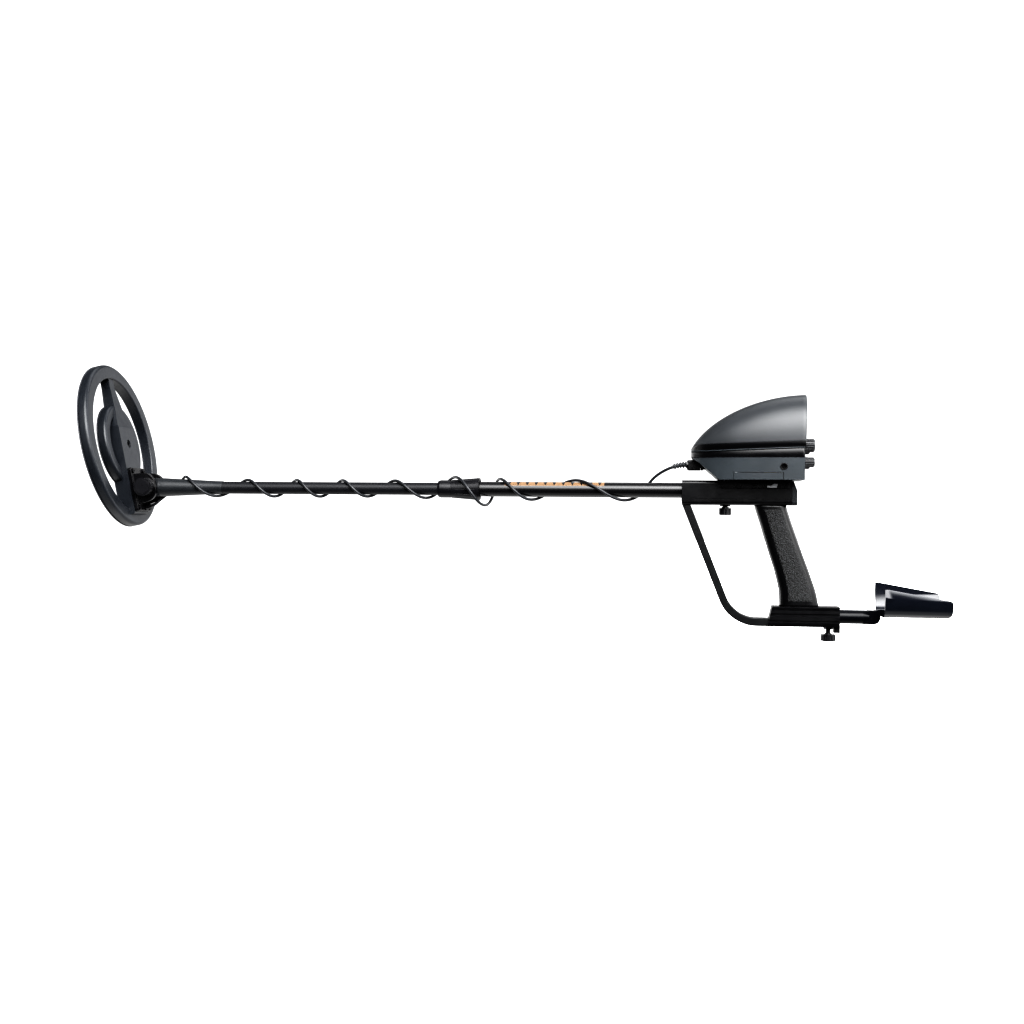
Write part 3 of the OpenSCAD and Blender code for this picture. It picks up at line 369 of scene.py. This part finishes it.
def panel_look():
    """The rear panel: matte black, with a ring of pale dots about each knob."""
    dots_a_radian = 1.909859
    look = moulded("panel_plastic", (0.014, 0.014, 0.016), 0.5, 1200, 0.00004)
    base = look.vary(0.1, 40)
    _, y, z = look.xyz()
    side = look.math("SUBTRACT", look.math("ABSOLUTE", y), KNOB_Y)
    rings = []
    for level, d in ((KNOB_UPPER_Z, KNOB_UPPER_D), (KNOB_LOWER_Z, KNOB_LOWER_D)):
        up = look.math("SUBTRACT", z, level)
        angle = look.math("ARCTAN2", side, up)
        step = look.away(look.math("FRACT", look.math("MULTIPLY", angle, dots_a_radian)), 0.5)
        rings.append(look.both(
            look.math("COMPARE", look.radius(side, up), d / 2 + 0.0022, 0.00045),
            look.math("LESS_THAN", step, 0.09),
            look.math("LESS_THAN", look.math("ABSOLUTE", angle), 2.7),
        ))
    look.paint(look.mix(look.math("MAXIMUM", *rings), base, (0.6, 0.6, 0.58)))
    return look


def knob_look(name, y0, z0, d):
    """A knob's ribbed black plastic, with a white line in its pointer groove."""
    look = moulded(name, (0.02, 0.0205, 0.023), 0.32, 900, 0.00002)
    base = look.vary(0.1, 60)
    x, y, z = look.xyz()
    line = look.both(
        look.math("COMPARE", y, y0, 0.00055),
        look.math("GREATER_THAN", z, z0 + d / 4),
        look.math("COMPARE", x, KNOB_TIP_X - 0.0006, 0.00025),
    )
    look.paint(look.mix(line, base, (0.75, 0.75, 0.72)))
    return look


def board_look():
    """Green laminate with paler tracks."""
    look = Look("board_laminate", (0.02, 0.13, 0.05), 0.35)
    tracks = look.math("LESS_THAN", look.cells(260, "DISTANCE_TO_EDGE"), 0.06)
    look.paint(look.mix(tracks, look.vary(0.1, 60), (0.1, 0.34, 0.14)))
    return look


def copper_look():
    """Enamelled wire: fine rings of turns."""
    look = Look("copper_wire", (0.5, 0.19, 0.07), 0.3, 1.0)
    turns = look.noise(1600, 2, 0.5, stretch=(1, 1, 6))
    look.paint(look.mix(look.ramp(turns, 0.4, 0.6), (0.3, 0.1, 0.03), (0.62, 0.27, 0.11)))
    look.bump(turns, 0.0002)
    return look


def battery_look():
    """A battery's printed can: black over its front part, gold over its rear."""
    change_x = -0.028
    look = Look("battery_wrap", (0.5, 0.34, 0.1), 0.3, 0.6)
    x, _, _ = look.xyz()
    share = look.math("GREATER_THAN", x, change_x)
    look.paint(look.mix(share, (0.02, 0.02, 0.02), look.vary(0.08, 90)))
    look.bump(look.noise(240, 2), 0.00003)
    return look


# Each of the record's material slots
LOOKS = {
    "coil_plastic": moulded("coil_plastic", (0.0165, 0.019, 0.0235), 0.36, 1500, 0.000035),
    "cover_plastic": moulded("cover_plastic", (0.045, 0.047, 0.053), 0.42, 900, 0.00006),
    "bracket_plastic": moulded(
        "bracket_plastic", (0.005, 0.005, 0.006), 0.26, 700, 0.00002, specular_ior_level=0.4),
    "knob_plastic": moulded("knob_plastic", (0.011, 0.011, 0.013), 0.3, 900, 0.00002),
    "stem_plastic": moulded("stem_plastic", (0.023, 0.025, 0.028), 0.34, 1200, 0.000025),
    "lower_tube_paint": painted(
        "lower_tube_paint", (0.012, 0.0125, 0.015), 0.4, 700, 0.00002, specular_ior_level=0.4),
    "upper_tube_paint": tube_look(),
    "collet_plastic": moulded("collet_plastic", (0.6, 0.57, 0.5), 0.5, 800, 0.00003),
    "housing_paint": painted(
        "housing_paint", (0.005, 0.005, 0.006), 0.28, 500, 0.00002, specular_ior_level=0.4),
    "strap_paint": painted(
        "strap_paint", (0.0065, 0.007, 0.0078), 0.34, 900, 0.00004, specular_ior_level=0.35),
    "grip_plastic": moulded(
        "grip_plastic", (0.006, 0.006, 0.0068), 0.27, 900, 0.00002, specular_ior_level=0.4),
    "grip_foam": grip_look(),
    "cuff_plastic": moulded("cuff_plastic", (0.01, 0.012, 0.018), 0.24, 700, 0.00002, coat_weight=0.3),
    "rod_paint": painted("rod_paint", (0.005, 0.0056, 0.008), 0.2, 300, 0.00002, specular_ior_level=0.22),
    "hood_plastic": hood_look(),
    "case_plastic": case_look(),
    "panel_plastic": panel_look(),
    "mount_plastic": moulded("mount_plastic", (0.008, 0.008, 0.009), 0.28, 700, 0.00002),
    "cable_rubber": moulded("cable_rubber", (0.022, 0.0235, 0.027), 0.34, 800, 0.00003),
    "washer_rubber": moulded("washer_rubber", (0.02, 0.02, 0.02), 0.75, 900, 0.00008),
    "black_screw": brushed("black_screw", (0.03, 0.03, 0.033), 0.35),
    "bright_steel": brushed("bright_steel", (0.5, 0.51, 0.52), 0.3),
    "copper_wire": copper_look(),
    "board_laminate": board_look(),
    "speaker_body": moulded("speaker_body", (0.03, 0.03, 0.032), 0.6, 500, 0.0001),
    "battery_wrap": battery_look(),
    "meter_plastic": moulded("meter_plastic", (0.01, 0.01, 0.011), 0.26, 900, 0.00002),
    "scale_card": scale_look(),
    "window_clear": Look("window_clear", (0.95, 0.97, 0.98), 0.03, ior=1.49, transmission_weight=1.0),
    "needle_paint": painted("needle_paint", (0.55, 0.03, 0.02), 0.35),
}
# Two pieces that differ a little from their slot's own look
BOOT_LOOK = moulded("boot_rubber", (0.045, 0.047, 0.051), 0.4, 900, 0.00003)
# The case band's near-black is painted shade, for the shade below the seam
SHADE_BAND_LOOK = moulded("case_band_plastic", (0.006, 0.006, 0.007), 0.24, 900, 0.00002)
# Each knob's place across, height and diameter
KNOBS = {
    "knob_sensitivity": (-KNOB_Y, KNOB_UPPER_Z, KNOB_UPPER_D),
    "knob_discrimination": (KNOB_Y, KNOB_UPPER_Z, KNOB_UPPER_D),
    "knob_volume": (-KNOB_Y, KNOB_LOWER_Z, KNOB_LOWER_D),
    "knob_tuning": (KNOB_Y, KNOB_LOWER_Z, KNOB_LOWER_D),
}


# ---- CAD nodes: materials, softened edges -----------------------------------------------
# Faces that meet at more than CORNER have an edge between them
CORNER = math.radians(34)
WELD_GAP = 0.000002
# Bevel width in millimetres. A node without one keeps the edges that it has.
BEVELS = {
    "coil_shell": 0.9, "coil_cover": 0.3, "coil_bracket": 0.7, "hub_screw": 0.2, "cable_gland": 0.2,
    "pivot_nut": 0.35, "stem_tip": 0.5, "lock_collar": 0.2, "top_housing": 0.7, "housing_cap": 0.9,
    "guard_strap": 1.1, "lower_housing": 0.3, "thumb_screw_front": 0.4, "thumb_screw_rear": 0.4,
    "arm_rod": 0.7, "arm_cuff": 1.1, "box_base": 0.5, "battery_door": 0.3, "mount_plate": 0.5,
    "cable_plug": 0.5, "headphone_socket": 0.3, "threaded_bushes": 0.3, "rear_panel": 0.3,
    "meter_body": 0.4, "knob_sensitivity": 0.25, "knob_discrimination": 0.25, "knob_volume": 0.25,
    "knob_tuning": 0.25, "mount_clip": 0.15, "cuff_screws": 0.2,
}


def soften(node, width):
    """Joins the CAD mesh's split faces and rounds its edges, by modifiers only."""
    for polygon in node.data.polygons:
        polygon.use_smooth = True
    weld = node.modifiers.new("weld", "WELD")
    weld.merge_threshold = WELD_GAP
    if width:
        bevel = node.modifiers.new("bevel", "BEVEL")
        bevel.width = width * MM
        bevel.segments = 3
        bevel.limit_method = "ANGLE"
        bevel.angle_limit = CORNER
        bevel.use_clamp_overlap = True
        bevel.miter_outer = "MITER_ARC"
    else:
        split = node.modifiers.new("split", "EDGE_SPLIT")
        split.split_angle = CORNER
    normals = node.modifiers.new("normals", "WEIGHTED_NORMAL")
    normals.weight = 80
    normals.keep_sharp = False


def dress_nodes():
    """Gives every CAD node its look and its softened edges."""
    for part in frame["record"]["subparts"]:
        name = part["node"]
        node = frame["nodes"][name]
        look = LOOKS[part["material_slot"]]
        if name in KNOBS:
            look = knob_look(name + "_plastic", *KNOBS[name])
        node.data.materials.clear()
        node.data.materials.append(look.material)
        soften(node, BEVELS.get(name, 0))


dress_nodes()


# ---- Building pieces ---------------------------------------------------------------------
def piece(name, verts, faces, look, slot):
    """A smooth mesh object."""
    mesh = bpy.data.meshes.new(name)
    mesh.from_pydata([tuple(v) for v in verts], [], faces)
    mesh.validate()
    made = bpy.data.objects.new(name, mesh)
    bpy.context.scene.collection.objects.link(made)
    mesh.materials.append(look.material)
    for polygon in mesh.polygons:
        polygon.use_smooth = True
    work = bmesh.new()
    work.from_mesh(mesh)
    bmesh.ops.recalc_face_normals(work, faces=work.faces)
    work.to_mesh(mesh)
    work.free()
    return made


def loft(rings, closed=True, caps=True):
    """Vertices and faces through n rings of m points each."""
    n, m = len(rings), len(rings[0])
    verts = [v for ring in rings for v in ring]
    last = m if closed else m - 1
    faces = [
        (i * m + k, i * m + (k + 1) % m, (i + 1) * m + (k + 1) % m, (i + 1) * m + k)
        for i in range(n - 1)
        for k in range(last)
    ]
    if caps:
        faces.append(tuple(range(m))[::-1])
        faces.append(tuple((n - 1) * m + k for k in range(m)))
    return verts, faces


def tube(points, radii, sides=20):
    """Rings about a path of points, each with its own radius."""
    rings = []
    up = None
    for i, p in enumerate(points):
        ahead = (points[min(i + 1, len(points) - 1)] - points[max(i - 1, 0)]).normalized()
        if up is None:
            up = Vector((0, 0, 1)) if abs(ahead.z) < 0.9 else Vector((1, 0, 0))
        up = (up - up.dot(ahead) * ahead).normalized()
        side = ahead.cross(up)
        r = radii[i] if isinstance(radii, list) else radii
        rings.append([
            p + r * (math.cos(a) * up + math.sin(a) * side)
            for a in (2 * math.pi * k / sides for k in range(sides))
        ])
    return loft(rings)


def spline(values, t):
    """A smooth curve through values, at t from 0 to len(values) - 1."""
    i = min(int(t), len(values) - 2)
    s = t - i
    a = values[max(i - 1, 0)]
    b = values[i]
    c = values[i + 1]
    d = values[min(i + 2, len(values) - 1)]
    bend = (2 * a - 5 * b + 4 * c - d) * s * s
    twist = (3 * b - 3 * c + d - a) * s ** 3
    return 0.5 * (2 * b + (c - a) * s + bend + twist)


# ---- Cable -------------------------------------------------------------------------------
# Stations of the winding, half a turn apart: place along the stem and radius, in millimetres.
WRAPS = [
    (-803, 14.6), (-776, 14), (-733, 11), (-692, 10.3), (-656, 11), (-626, 10.3), (-595, 10.8),
    (-565, 10.3), (-532, 10.3), (-496, 10.3), (-456, 11.6), (-418, 15), (-378, 20.5), (-358, 13),
    (-318, 13), (-262, 11.9), (-200, 13), (-152, 13),
]
# Half turns at which the winding starts, passes on from lead_coil to lead_lower, passes on from
# lead_lower to lead_upper, and ends
WRAP_START = 0.5
WRAP_SPLIT = 1
WRAP_COLLAR = 10
WRAP_END = 16.4
# The cable's way from the coil's gland to the winding, and from the winding to the plug's boot
COIL_END = [
    (-826, 5.45, 55.3), (-824.9, 5.5, 55.5), (-822.4, 5.6, 56.2), (-819.4, 6.4, 58.3), (-816.4, 7.8, 61.4),
    (-813.6, 9.4, 64.2), (-811.2, 11, 66.5), (-808.6, 12.9, 69), (-805, 14.5, 71.8), (-800, 15.2, 74.9),
    (-795, 15, 77.7),
]
BOX_END = [
    (-172, 12.8, 83.5), (-169.6, 11.8, 87.6), (-166.6, 10.2, 91.8), (-162.8, 8.2, 95.8), (-158.4, 6, 99.4),
    (-153.4, 3.9, 102.7), (-148.4, 2, 105.4), (-144.2, 0.8, 107.3), (-140.4, 0, 108.75), (-138.2, 0, 109.5),
]


def wrap_point(s):
    """The winding's point after s half turns."""
    x = spline([w[0] for w in WRAPS], s) * MM
    r = spline([w[1] for w in WRAPS], s) * MM
    return Vector((x, r * math.sin(math.pi * s), STEM_Z - r * math.cos(math.pi * s)))


def through(points, steps):
    """A smooth path through points in millimetres, with steps points between each two."""
    axes = [[p[i] * MM for p in points] for i in range(3)]
    count = (len(points) - 1) * steps
    return [Vector([spline(axis, k / steps) for axis in axes]) for k in range(count + 1)]


def winding(s0, s1, steps=28):
    """The winding's points from half turn s0 to s1."""
    count = round((s1 - s0) * steps)
    return [wrap_point(s0 + (s1 - s0) * k / count) for k in range(count + 1)]


def as_mm(p):
    """A point in metres, in millimetres."""
    return tuple(v / MM for v in p)


def cable_paths():
    """The points of the cable's three pieces. The ways to its two ends run on into the winding."""
    steps = 5
    lap = 0.05
    start = [as_mm(wrap_point(WRAP_START + lap * k)) for k in range(3)]
    finish = [as_mm(wrap_point(WRAP_END - lap * k)) for k in (2, 1, 0)]
    return {
        "lead_coil": through(COIL_END + start, steps)[:-2 * steps] + winding(WRAP_START, WRAP_SPLIT),
        "lead_lower": winding(WRAP_SPLIT, WRAP_COLLAR),
        "lead_upper": winding(WRAP_COLLAR, WRAP_END)[:-1] + through(finish + BOX_END, steps)[2 * steps:],
    }


def add_cable():
    """The cable, in a piece for each joint that it crosses."""
    cables = {}
    for name, path in cable_paths().items():
        cables[name] = piece(name + "_cable", *tube(path, CABLE_R), LOOKS["cable_rubber"], "cable_rubber")
        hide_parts(name)
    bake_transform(cables["lead_coil"])
    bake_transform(cables["lead_lower"])
    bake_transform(cables["lead_upper"])


add_cable()

# ---- Ribbed boot of the plug ---------------------------------------------------------------
# Its centreline, in millimetres, from the plug to the cable
BOOT = [(-121.6, 0, 112.3), (-126, 0, 112), (-130.6, 0, 111.5), (-135.2, 0, 110.5), (-139.7, 0, 109.05)]
BOOT_RIBS = 5.2


def boot():
    """A tapering sleeve with rounded ribs that bends down towards the stem."""
    path = through(BOOT, 24)
    radii = []
    for i in range(len(path)):
        t = i / (len(path) - 1)
        rib = 0.5 + 0.5 * math.cos(2 * math.pi * (BOOT_RIBS * t - 0.35))
        core = 2.6 - 0.5 * t
        crest = 4.2 - 1.1 * t
        end_fade = 1 if t < 0.97 else 0.2
        radii.append((core + (crest - core) * min(1, rib * 1.6) ** 1.5 * end_fade) * MM)
    made = piece("plug_boot_ribbed", *tube(path, radii, 28), BOOT_LOOK, "cable_rubber")
    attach(made, "handle")
    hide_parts("plug_boot")


boot()

# ---- Control box ---------------------------------------------------------------------------
HOOD_END = 0.024
HOOD_LEN = 0.144
HOOD_RISE = 0.0795
HOOD_BASE = 0.120
HOOD_LEAN = 0.045
HOOD_NOSE_X = -0.1165
BAND_FRONT_X = -0.1155
SHADE_BAND_LOW_Z = 0.1203
BOX_REAR = 0.0205


def forward(x):
    """How far forward of the hood's rear end x lies, from 0 to 1."""
    return min(1.0, max(0.0, (HOOD_END - x) / HOOD_LEN))


def ridge_z(x):
    """The height of the hood's ridge."""
    return HOOD_BASE + HOOD_RISE * (1 - forward(x) ** 1.9) ** (1 / 1.6)


def half_w(x, w):
    """Half of the box's width, where w is half of its width at the rear."""
    return w * (1 - forward(x) ** 3.2) ** (1 / 2.4)


def seam_z(x):
    """The hood's lower edge, which rises a little towards the rear."""
    front_z, rise = 0.1281, 0.0042
    return front_z + rise * max(0.0, min(1.0, (x + 0.095) / 0.11))


def hood_ring(x, inset):
    """The hood's section at x, inset from its outer face, from edge to edge over the ridge."""
    w = half_w(x, HOOD_W) - inset
    low = seam_z(x)
    h = max(0.0015, ridge_z(x) - inset - SEAM_Z)
    shoulder = 0.004
    arch = []
    steps = 44
    for k in range(steps + 1):
        a = math.pi * k / steps
        ca, sa = math.cos(a), math.sin(a)
        y = w * math.copysign(abs(ca) ** 0.75, ca)
        arch.append((y, SEAM_Z + shoulder + (h - shoulder) * sa ** 0.8))
    # The section turns under towards the seam
    under = []
    under_steps = 5
    top = min(SEAM_Z + 0.0085, low + 0.5 * max(0.0005, ridge_z(x) - inset - low))
    for k in range(under_steps + 1):
        t = k / under_steps
        y = w * (0.955 + 0.045 * math.sin(t * math.pi / 2))
        under.append((y, low + (top - low) * t))
    over = [p for p in arch if p[1] > top + 0.0003]
    lean = HOOD_LEAN * (1 - forward(x)) ** 2
    outline = under + over + [(-y, z) for y, z in reversed(under)]
    return [Vector((x + lean * (z - SEAM_Z), y, z)) for y, z in outline]


def resample(points, count):
    """count points, evenly spaced along a path."""
    lengths = [0.0]
    for p, q in zip(points, points[1:]):
        lengths.append(lengths[-1] + (q - p).length)
    out, i = [], 0
    for k in range(count):
        goal = lengths[-1] * k / (count - 1)
        while i < len(points) - 2 and lengths[i + 1] < goal:
            i += 1
        span = lengths[i + 1] - lengths[i]
        out.append(points[i].lerp(points[i + 1], 0 if span == 0 else (goal - lengths[i]) / span))
    return out


def hood():
    """The hood as a shell: outer face, a rounded rim at the rear, and inner face."""
    count = 97
    stations = 44
    length = BOX_REAR - HOOD_NOSE_X
    xs = [HOOD_NOSE_X + length * (k / stations) ** 1.5 for k in range(stations + 1)]
    outer = [resample(hood_ring(x, 0), count) for x in xs]
    rim = [
        [p + Vector((out, 0, 0)) for p in resample(hood_ring(BOX_REAR, inset), count)]
        for out, inset in ((0.0007, 0.0005), (0.0008, 0.0012), (0.0006, 0.0019))
    ]
    inner = [resample(hood_ring(x, WALL), count) for x in reversed(xs) if x > -0.112]
    verts, faces = loft(outer + rim + inner, closed=False, caps=False)
    # Close the lower edges between the outer and inner faces, and the nose
    rows = len(outer) + len(rim)
    for k in (0, count - 1):
        for i in range(len(inner) - 1):
            a, b = rows + i, rows + i + 1
            c, d = len(outer) - 1 - i, len(outer) - 2 - i
            faces.append((a * count + k, b * count + k, d * count + k, c * count + k))
    faces.append(tuple(range(count)))
    made = piece("hood_shell", verts, faces, LOOKS["hood_plastic"], "hood_plastic")
    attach(made, "handle")
    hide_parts("box_hood")


def case_strip(name, profile, width, look, slot):
    """A strip round the case. profile gives how far out each of its points is, and its height as f(x)."""
    count = 60
    length = BOX_REAR - 0.0002 - BAND_FRONT_X
    xs = [BAND_FRONT_X + length * (k / count) ** 1.5 for k in range(count + 1)]
    line = [Vector((x, -half_w(x, width), 0)) for x in reversed(xs)]
    line += [Vector((x, half_w(x, width), 0)) for x in xs]
    line = resample(line, 2 * count)
    middle = Vector((-0.03, 0, 0))
    rings = []
    for i, p in enumerate(line):
        ahead = (line[min(i + 1, len(line) - 1)] - line[max(i - 1, 0)]).normalized()
        out = Vector((-ahead.y, ahead.x, 0))
        if out.dot(p - middle) < 0:
            out = -out
        rings.append([p + out * o + Vector((0, 0, z(p.x))) for o, z in profile])
    made = piece(name, *loft(rings), look, slot)
    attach(made, "handle")


def flat(z):
    """The same height all along."""
    return lambda x: z


def along_seam(dz):
    """dz above the seam all along."""
    return lambda x: seam_z(x) + dz


def case_shade_band():
    """A near-black strip round the case below the seam: painted shade, for the shade where the case turns
    under.
    """
    profile = [
        (-0.001, flat(SHADE_BAND_LOW_Z)), (0.0002, flat(SHADE_BAND_LOW_Z)), (0.0007, flat(SHADE_BAND_LOW_Z + 0.0003)),
        (0.0009, flat(SHADE_BAND_LOW_Z + 0.0009)), (0.0009, along_seam(-0.0014)), (0.0006, along_seam(-0.0008)),
        (-0.001, along_seam(-0.0007)),
    ]
    case_strip("case_shade_band", profile, CASE_W, SHADE_BAND_LOOK, "mount_plastic")


def seam_bead():
    """The slate bead in the seam."""
    sides = 10
    angles = [2 * math.pi * k / sides for k in range(sides)]
    profile = [(0.0011 * math.cos(a), along_seam(0.00005 + 0.0008 * math.sin(a))) for a in angles]
    case_strip("seam_bead", profile, CASE_W + 0.0014, LOOKS["case_plastic"], "case_plastic")


case_shade_band()
seam_bead()
hood()

# ---- Hand grip -----------------------------------------------------------------------------
# Height, front edge and rear edge, in millimetres
GRIP = [
    (61.8, -38, 1), (38, -30.2, 8.6), (8, -21.4, 19.6), (-21, -12, 30.4), (-44, -6.6, 38.4),
    (-63.4, -6, 42.4),
]
GRIP_W = 0.015
GRIP_TOP = 0.0618
GRIP_FOOT = -0.0634
# Powers of the section's rounding, along X and across
ROUND_X = 0.7
ROUND_Y = 0.55


def grip_edges(z):
    """The grip's front and rear edge at height z, in metres."""
    z = z / MM
    for (z0, f0, r0), (z1, f1, r1) in zip(GRIP, GRIP[1:]):
        if z >= z1 - 1e-6:
            t = max(0.0, (z0 - z) / (z0 - z1))
            return (f0 + (f1 - f0) * t) * MM, (r0 + (r1 - r0) * t) * MM
    return GRIP[-1][1] * MM, GRIP[-1][2] * MM


def smooth_edges(z):
    """The edges, with their bends rounded: their mean over a few millimetres of height."""
    reach = 6
    count = 2 * reach + 1
    total = [0.0, 0.0]
    for k in range(-reach, reach + 1):
        front, rear = grip_edges(max(GRIP_FOOT, min(GRIP_TOP, z + k * 0.001)))
        total[0] += front / count
        total[1] += rear / count
    return total


def grip_core():
    """The grip's body: a rounded section that follows its two edges."""
    rows, sides = 60, 88
    rings = []
    for i in range(rows + 1):
        z = GRIP_FOOT + (GRIP_TOP - GRIP_FOOT) * i / rows
        front, rear = smooth_edges(z)
        middle, half = (front + rear) / 2, (rear - front) / 2
        ring = []
        for k in range(sides):
            a = 2 * math.pi * k / sides
            ca, sa = math.cos(a), math.sin(a)
            x = middle + half * math.copysign(abs(ca) ** ROUND_X, ca)
            ring.append(Vector((x, GRIP_W * math.copysign(abs(sa) ** ROUND_Y, sa), z)))
        rings.append(ring)
    made = piece("grip_moulding", *loft(rings), LOOKS["grip_plastic"], "grip_plastic")
    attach(made, "handle")
    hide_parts("grip_core")


def side_y(z, x):
    """Half of the grip's width at height z and place x."""
    front, rear = smooth_edges(z)
    middle, half = (front + rear) / 2, (rear - front) / 2
    share = min(0.999, abs(x - middle) / half) ** (1 / ROUND_X)
    return GRIP_W * (1 - share * share) ** (ROUND_Y / 2)


def grip_inlay(side, cad):
    """The granular inlay on one side, proud of the moulding and rounded at its border."""
    rows, cols = 64, 26
    top, bottom = 0.0573, -0.0582
    front_gap, rear_gap = 0.0096, 0.0066
    border, proud, sunk = 0.0014, 0.00075, 0.0002
    height = top - bottom
    verts = []
    for i in range(rows + 1):
        v = i / rows
        z = bottom + height * v
        front, rear = smooth_edges(z)
        x0, x1 = front + front_gap, rear - rear_gap
        for j in range(cols + 1):
            u = j / cols
            x = x0 + (x1 - x0) * u
            edge = min(u * (x1 - x0), (1 - u) * (x1 - x0), v * height, (1 - v) * height)
            rise = proud * math.sqrt(max(0.0, 1 - (1 - min(1, edge / border)) ** 2)) - sunk
            verts.append(Vector((x, side * (side_y(z, x) + rise), z)))
    m = cols + 1
    faces = [
        (i * m + j, i * m + j + 1, (i + 1) * m + j + 1, (i + 1) * m + j)
        for i in range(rows)
        for j in range(cols)
    ]
    made = piece(cad + "_inlay", verts, faces, LOOKS["grip_foam"], "grip_foam")
    thick = made.modifiers.new("thickness", "SOLIDIFY")
    thick.thickness = 0.0016
    thick.offset = -1
    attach(made, "handle")
    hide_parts(cad)


grip_core()
grip_inlay(-1, "grip_pad_left")
grip_inlay(1, "grip_pad_right")


# ---- Floor and light -------------------------------------------------------------------------
FLOOR_Z = -0.75
FLOOR_REACH = 40.0


def add_floor():
    """A plain white floor, well below the detector. It is seen, but the surround gives the light."""
    mesh = bpy.data.meshes.new("floor")
    corners = [(-FLOOR_REACH, -FLOOR_REACH), (FLOOR_REACH, -FLOOR_REACH), (FLOOR_REACH, FLOOR_REACH),
               (-FLOOR_REACH, FLOOR_REACH)]
    mesh.from_pydata([(x, y, FLOOR_Z) for x, y in corners], [], [(0, 1, 2, 3)])
    floor = bpy.data.objects.new("floor", mesh)
    bpy.context.scene.collection.objects.link(floor)
    look = Look("floor_paint", (0.9, 0.9, 0.9), 0.9, specular_ior_level=0.0)
    look.shader.inputs["Emission Color"].default_value = (1, 1, 1, 1)
    look.shader.inputs["Emission Strength"].default_value = 0.8
    mesh.materials.append(look.material)
    floor.visible_diffuse = False
    floor.visible_glossy = False


class World:
    """The surround: a shader made of a few soft shapes in the directions about the detector."""

    def __init__(self):
        world = bpy.data.worlds.new("world")
        bpy.context.scene.world = world
        world.use_nodes = True
        self.tree = world.node_tree
        self.tree.nodes.clear()
        place = self.tree.nodes.new("ShaderNodeTexCoord")
        split = self.tree.nodes.new("ShaderNodeSeparateXYZ")
        self.tree.links.new(place.outputs["Generated"], split.inputs[0])
        self.x, self.y, self.z = (split.outputs[k] for k in "XYZ")

    def math(self, operation, a, b=0.0):
        """A Math node's output."""
        made = self.tree.nodes.new("ShaderNodeMath")
        made.operation = operation
        for socket, value in zip(made.inputs, (a, b)):
            if isinstance(value, (int, float)):
                socket.default_value = value
            else:
                self.tree.links.new(value, socket)
        return made.outputs[0]

    def fade(self, value, low, high):
        """0 at low, 1 at high, smooth between. low above high turns it round."""
        made = self.tree.nodes.new("ShaderNodeMapRange")
        made.interpolation_type = "SMOOTHSTEP"
        start, end = (0.0, 1.0) if low < high else (1.0, 0.0)
        limits = (min(low, high), max(low, high), start, end)
        for socket, v in zip(("From Min", "From Max", "To Min", "To Max"), limits):
            made.inputs[socket].default_value = v
        self.tree.links.new(value, made.inputs["Value"])
        return made.outputs["Result"]

    def times(self, *values):
        """The product of values."""
        out = values[0]
        for value in values[1:]:
            out = self.math("MULTIPLY", out, value)
        return out

    def add(self, *values):
        """The sum of values."""
        out = values[0]
        for value in values[1:]:
            out = self.math("ADD", out, value)
        return out

    def finish(self, seen, lit):
        """Seen directly it is plain white. Everything else gets the soft shapes."""
        out = self.tree.nodes.new("ShaderNodeOutputWorld")
        mix = self.tree.nodes.new("ShaderNodeMixShader")
        path = self.tree.nodes.new("ShaderNodeLightPath")
        for strength, socket in ((lit, 1), (seen, 2)):
            back = self.tree.nodes.new("ShaderNodeBackground")
            back.inputs["Color"].default_value = (1, 1, 1, 1)
            if isinstance(strength, float):
                back.inputs["Strength"].default_value = strength
            else:
                self.tree.links.new(strength, back.inputs["Strength"])
            self.tree.links.new(back.outputs[0], mix.inputs[socket])
        self.tree.links.new(path.outputs["Is Camera Ray"], mix.inputs[0])
        self.tree.links.new(mix.outputs[0], out.inputs[0])


def add_surround():
    """White card behind and below, and soft boxes: above each side, to the rear and to the left.

    x, y and z are a direction's parts. A climb is its angle above the level towards one side.
    """
    everywhere = 0.02
    w = World()
    near_climb = w.math("ARCTAN2", w.z, w.math("MULTIPLY", w.y, -1.0))
    far_climb = w.math("ARCTAN2", w.z, w.y)
    middle = w.times(w.fade(w.x, -0.5, 0.2), w.fade(w.x, 0.95, 0.5))
    level = w.fade(w.math("ABSOLUTE", w.z), 0.6, 0.15)
    card = w.times(w.fade(w.y, 0.0, 0.3), w.fade(w.z, 0.5, 0.22), 0.75)
    below = w.times(w.fade(w.z, -0.72, -0.95), 0.7)
    near_box = w.times(w.fade(near_climb, 0.02, 0.7), w.fade(near_climb, 1.4, 0.75), middle, 12.0)
    far_box = w.times(w.fade(far_climb, 0.6, 1.0), w.fade(far_climb, 1.5, 1.2), middle, 1.4)
    rear_box = w.times(w.fade(w.x, 0.5, 0.85), w.fade(w.z, -0.2, 0.05), w.fade(w.z, 0.8, 0.5), 2.0)
    left_box = w.times(w.fade(w.x, -0.5, -0.85), w.fade(w.y, -0.5, 0.3), level, 2.1)
    w.finish(1.0, w.add(card, below, near_box, far_box, rear_box, left_box, everywhere))


add_floor()
add_surround()
view = bpy.context.scene.view_settings
view.view_transform = "Standard"
view.look = "Very High Contrast"
